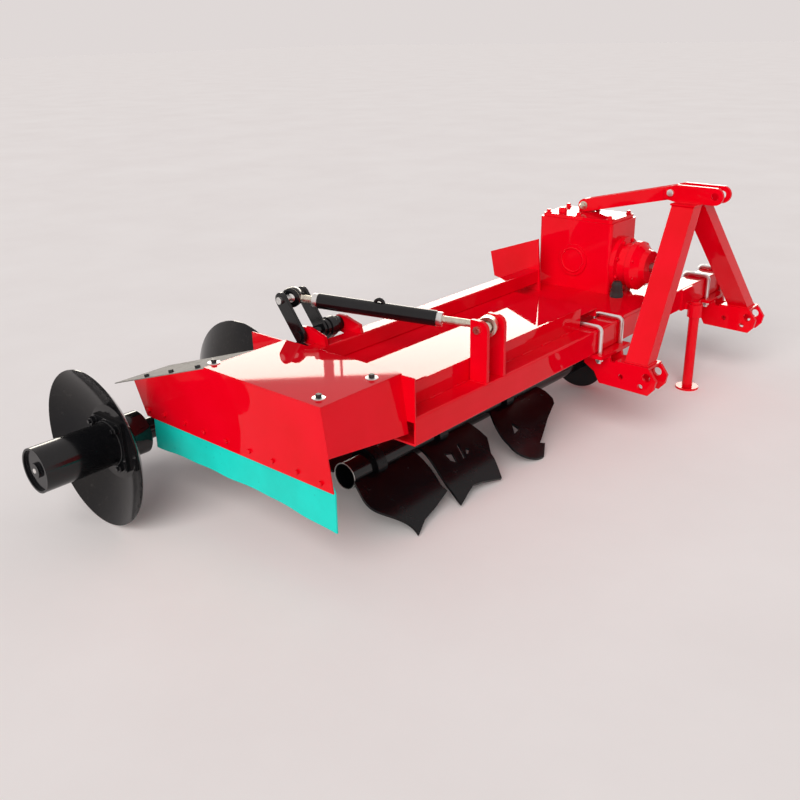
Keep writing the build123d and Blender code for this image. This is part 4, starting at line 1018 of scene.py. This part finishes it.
@dataclass(frozen=True)
class Turnbuckle:
    """Loop, collars, eye sleeve and threads of the turnbuckle."""

    front: Triple = (-33.0, -1055.0, 546.0)
    back: Triple = (-563.0, -1299.0, 595.0)
    loop_radius: float = 0.013
    loop_wire: float = 0.0055
    loop_place: float = 0.54  # share of the way to the rear eye
    loop_rise: float = 0.018
    collar_places: Pair = (0.1295, 0.5025)
    collar: Disc = Disc(0.0205, 0.017, 0.0015, sides=32, both=True)
    sleeve: Disc = Disc(0.0298, 0.0275, 0.003, sides=40, both=True)
    front_thread: Pair = (0.060, 0.066)  # start behind the front eye, length
    rear_thread: Pair = (0.066, 0.030)  # start before the rear eye, length
    thread_radius: float = 0.0105
    thread_pitch: float = 0.003
    ridge: float = 0.0009
    groove: float = 0.0002

    def build(self) -> None:
        """Builds the loop on the barrel, the collars, the eye's sleeve and the threads on both rods."""
        start = DATUM.point(*self.front)
        end = DATUM.point(*self.back)
        along = (end - start).normalized()
        across = Vector((-along.y, along.x, 0)).normalized()
        loop = add_torus("turnbuckle_loop", self.loop_radius, self.loop_wire, (36, 12))
        middle = start + (end - start) * self.loop_place + Vector((0, 0, self.loop_rise))
        stand_along(loop, middle, across)
        finish_piece(loop, Slot.BLACK, BLACK_PAINT, "turnbuckle")
        collars = []
        for reach in self.collar_places:
            collar = self.collar.model("collar")
            stand_along(collar, start + along * reach, along)
            collars.append(collar)
        finish_piece(join_pieces("barrel_collars", collars), Slot.ZINC, WHITE_ZINC, "turnbuckle")
        sleeve = self.sleeve.model("rear_eye_sleeve")
        stand_along(sleeve, end - across * self.sleeve.depth / 2, across)
        finish_piece(sleeve, Slot.BLACK, BLACK_PAINT, "turnbuckle_rod")
        reach, length = self.front_thread
        self.build_thread("front_rod_thread", start + along * reach, along, length, "turnbuckle")
        reach, length = self.rear_thread
        self.build_thread("rear_rod_thread", end - along * reach, along, length, "turnbuckle_rod")

    def build_thread(self, name: str, start: Vector, along: Vector, length: float, body: str) -> None:
        """Thread ridges round a rod.

        Args:
            name: the piece's name.
            start: where the thread starts, on the rod's axis.
            along: unit vector along the rod.
            length: the thread's length.
            body: the body that carries the rod.
        """
        turns = int(length / self.thread_pitch)
        rod = add_round("thread", self.thread_radius, length, sides=20)
        # Its upright edges, whose middles are half way up
        select_where(rod, "EDGE", lambda middle, normal: abs(middle.z - length / 2) < length * 0.4)
        bpy.ops.mesh.subdivide(number_cuts=2 * turns - 1)
        bpy.ops.object.mode_set(mode="OBJECT")
        for vertex in rod.data.vertices:
            on_ridge = round(vertex.co.z / self.thread_pitch * 2) % 2
            reach = self.thread_radius + (self.ridge if on_ridge else self.groove)
            flat = Vector((vertex.co.x, vertex.co.y, 0)).normalized() * reach
            vertex.co = Vector((flat.x, flat.y, vertex.co.z))
        shade_piece(rod, 20)
        stand_along(rod, start, along)
        rod.name = name
        finish_piece(rod, Slot.ZINC, ZINC, body)


@dataclass(frozen=True)
class Studio:
    """Floor, light and camera.

    The camera's place and turn come from the photo's own perspective. The softboxes are the
    panes of one strip behind the machine. Only mirrors show them, and the gaps between them
    stand where the photo's level faces mirror dark posts.
    """

    place: Triple = (1384.0, -3015.0, 1320.0)
    yaw: float = 131.762
    pitch: float = -22.384
    roll: float = -1.331
    focal_pixels: float = 903.42
    picture: float = 800.0
    sensor: float = 36.0
    far_clip: float = 200.0
    floor_size: float = 120.0
    floor_tones: tuple[Colour, Colour] = ((0.89, 0.82, 0.795), (0.93, 0.865, 0.84))
    floor_roughness: float = 0.75
    strip_anchor: Triple = (-300.0, -1600.0, 0.0)
    strip_azimuth: float = 135.0
    strip_distance: float = 7.0
    strip_foot: float = 1.2
    strip_top: float = 3.17
    strip_glow: float = 7.5
    strip_colour: Colour = (1.0, 0.93, 0.81)
    strip_panes: Sequence[tuple[str, float, float]] = (
        # name, start and end along the strip in metres
        ("softbox_left", 0.105, 5.0),
        ("softbox_middle", -0.070, -0.005),
        ("softbox_right", -5.0, -0.100),
    )
    sun_power: float = 2.9
    sun_side: Triple = (1.3, -3.0, 1.9)
    sun_angle: float = 50.0
    sky: Colour = (0.36, 0.365, 0.375)
    backdrop: Colour = (0.74, 0.69, 0.68)

    def build_floor(self) -> None:
        """Pale floor that runs to the horizon."""
        clear_selection()
        bpy.ops.mesh.primitive_plane_add(size=self.floor_size, location=(0, 0, 0))
        floor = bpy.context.object
        floor.name = "studio_floor"
        material = bpy.data.materials.new("pale_floor")
        material.use_nodes = True
        tree = material.node_tree
        shader = tree.nodes["Principled BSDF"]
        shader.inputs["Roughness"].default_value = self.floor_roughness
        shader.inputs["Specular IOR Level"].default_value = 0.0
        place = tree.nodes.new("ShaderNodeTexCoord")
        clouds = add_noise(tree, place.outputs["Object"], scale=1.3, detail=6.0, roughness=0.6)
        tone = add_mix(tree, add_range(tree, clouds, 0.3, 0.7), *self.floor_tones)
        tree.links.new(tone, shader.inputs["Base Color"])
        floor.data.materials.append(material)

    def build_world(self) -> None:
        """Soft sky light, behind which the camera and mirrors see the pale backdrop."""
        world = bpy.data.worlds.new("studio_world")
        bpy.context.scene.world = world
        world.use_nodes = True
        tree = world.node_tree
        background = tree.nodes["Background"]
        rays = tree.nodes.new("ShaderNodeLightPath").outputs
        mirrored = add_math(tree, "MAXIMUM", rays["Is Glossy Ray"], rays["Is Transmission Ray"])
        shown = add_math(tree, "MAXIMUM", rays["Is Camera Ray"], mirrored)
        tree.links.new(add_mix(tree, shown, self.sky, self.backdrop), background.inputs["Color"])
        background.inputs["Strength"].default_value = 1.0

    def build_lamps(self) -> None:
        """A soft sun that isn't mirrored, and the strip of softboxes that lights nothing matt."""
        sun = bpy.data.lights.new("soft_sun", "SUN")
        sun.energy = self.sun_power
        sun.angle = math.radians(self.sun_angle)
        self.hang(sun, Vector(self.sun_side), Vector((0, 0, 0))).visible_glossy = False
        away = Matrix.Rotation(math.radians(self.strip_azimuth), 3, "Z") @ Vector((self.strip_distance, 0, 0))
        along = Vector((-away.y, away.x, 0)).normalized()
        anchor = DATUM.point(*self.strip_anchor) + Vector((0, 0, (self.strip_top + self.strip_foot) / 2))
        for name, start, end in self.strip_panes:
            pane = bpy.data.lights.new(name, "AREA")
            pane.shape = "RECTANGLE"
            pane.size = end - start
            pane.size_y = self.strip_top - self.strip_foot
            pane.color = self.strip_colour
            pane.energy = self.strip_glow * math.pi * pane.size * pane.size_y
            target = anchor + along * (start + end) / 2
            self.hang(pane, target + away, target).visible_diffuse = False

    def hang(self, light: bpy.types.Light, spot: Vector, target: Vector) -> Piece:
        """Puts a lamp at a spot, turned to a target, and returns its object."""
        holder = bpy.data.objects.new(light.name, light)
        bpy.context.scene.collection.objects.link(holder)
        holder.location = spot
        holder.rotation_euler = (target - spot).to_track_quat("-Z", "Y").to_euler()
        return holder

    def build_camera(self) -> None:
        """Camera at the photo's place, with its lens."""
        yaw, pitch, roll = (math.radians(angle) for angle in (self.yaw, self.pitch, self.roll))
        forward = Vector((math.cos(pitch) * math.cos(yaw), math.cos(pitch) * math.sin(yaw), math.sin(pitch)))
        right = forward.cross(Vector((0, 0, 1))).normalized()
        up = right.cross(forward)
        turned_right = right * math.cos(roll) + up * math.sin(roll)
        turned_up = up * math.cos(roll) - right * math.sin(roll)
        camera = bpy.data.cameras.new("photo_camera")
        camera.sensor_width = self.sensor
        camera.lens = self.focal_pixels / self.picture * self.sensor
        camera.clip_end = self.far_clip
        holder = bpy.data.objects.new("photo_camera", camera)
        bpy.context.scene.collection.objects.link(holder)
        turn = Matrix((turned_right, turned_up, -forward)).transposed().to_4x4()
        holder.matrix_world = Matrix.Translation(DATUM.point(*self.place)) @ turn
        bpy.context.scene.camera = holder

    def build(self) -> None:
        """Builds the floor, the light and the camera."""
        self.build_floor()
        self.build_world()
        self.build_lamps()
        self.build_camera()
        bpy.context.scene.view_settings.view_transform = "Standard"


def main() -> None:
    """Dresses the CAD nodes and builds the small pieces, the floor, the light and the camera."""
    logging.basicConfig(level=logging.INFO, format="%(name)s: %(message)s")
    Studio().build()
    dress_nodes()
    for assembly in (GuideBox(), Gearbox(), Hitch(), Rotor(), Roller(), Turnbuckle()):
        assembly.build()
        LOG.info("built %s", type(assembly).__name__)


if __name__ == "__main__":
    main()
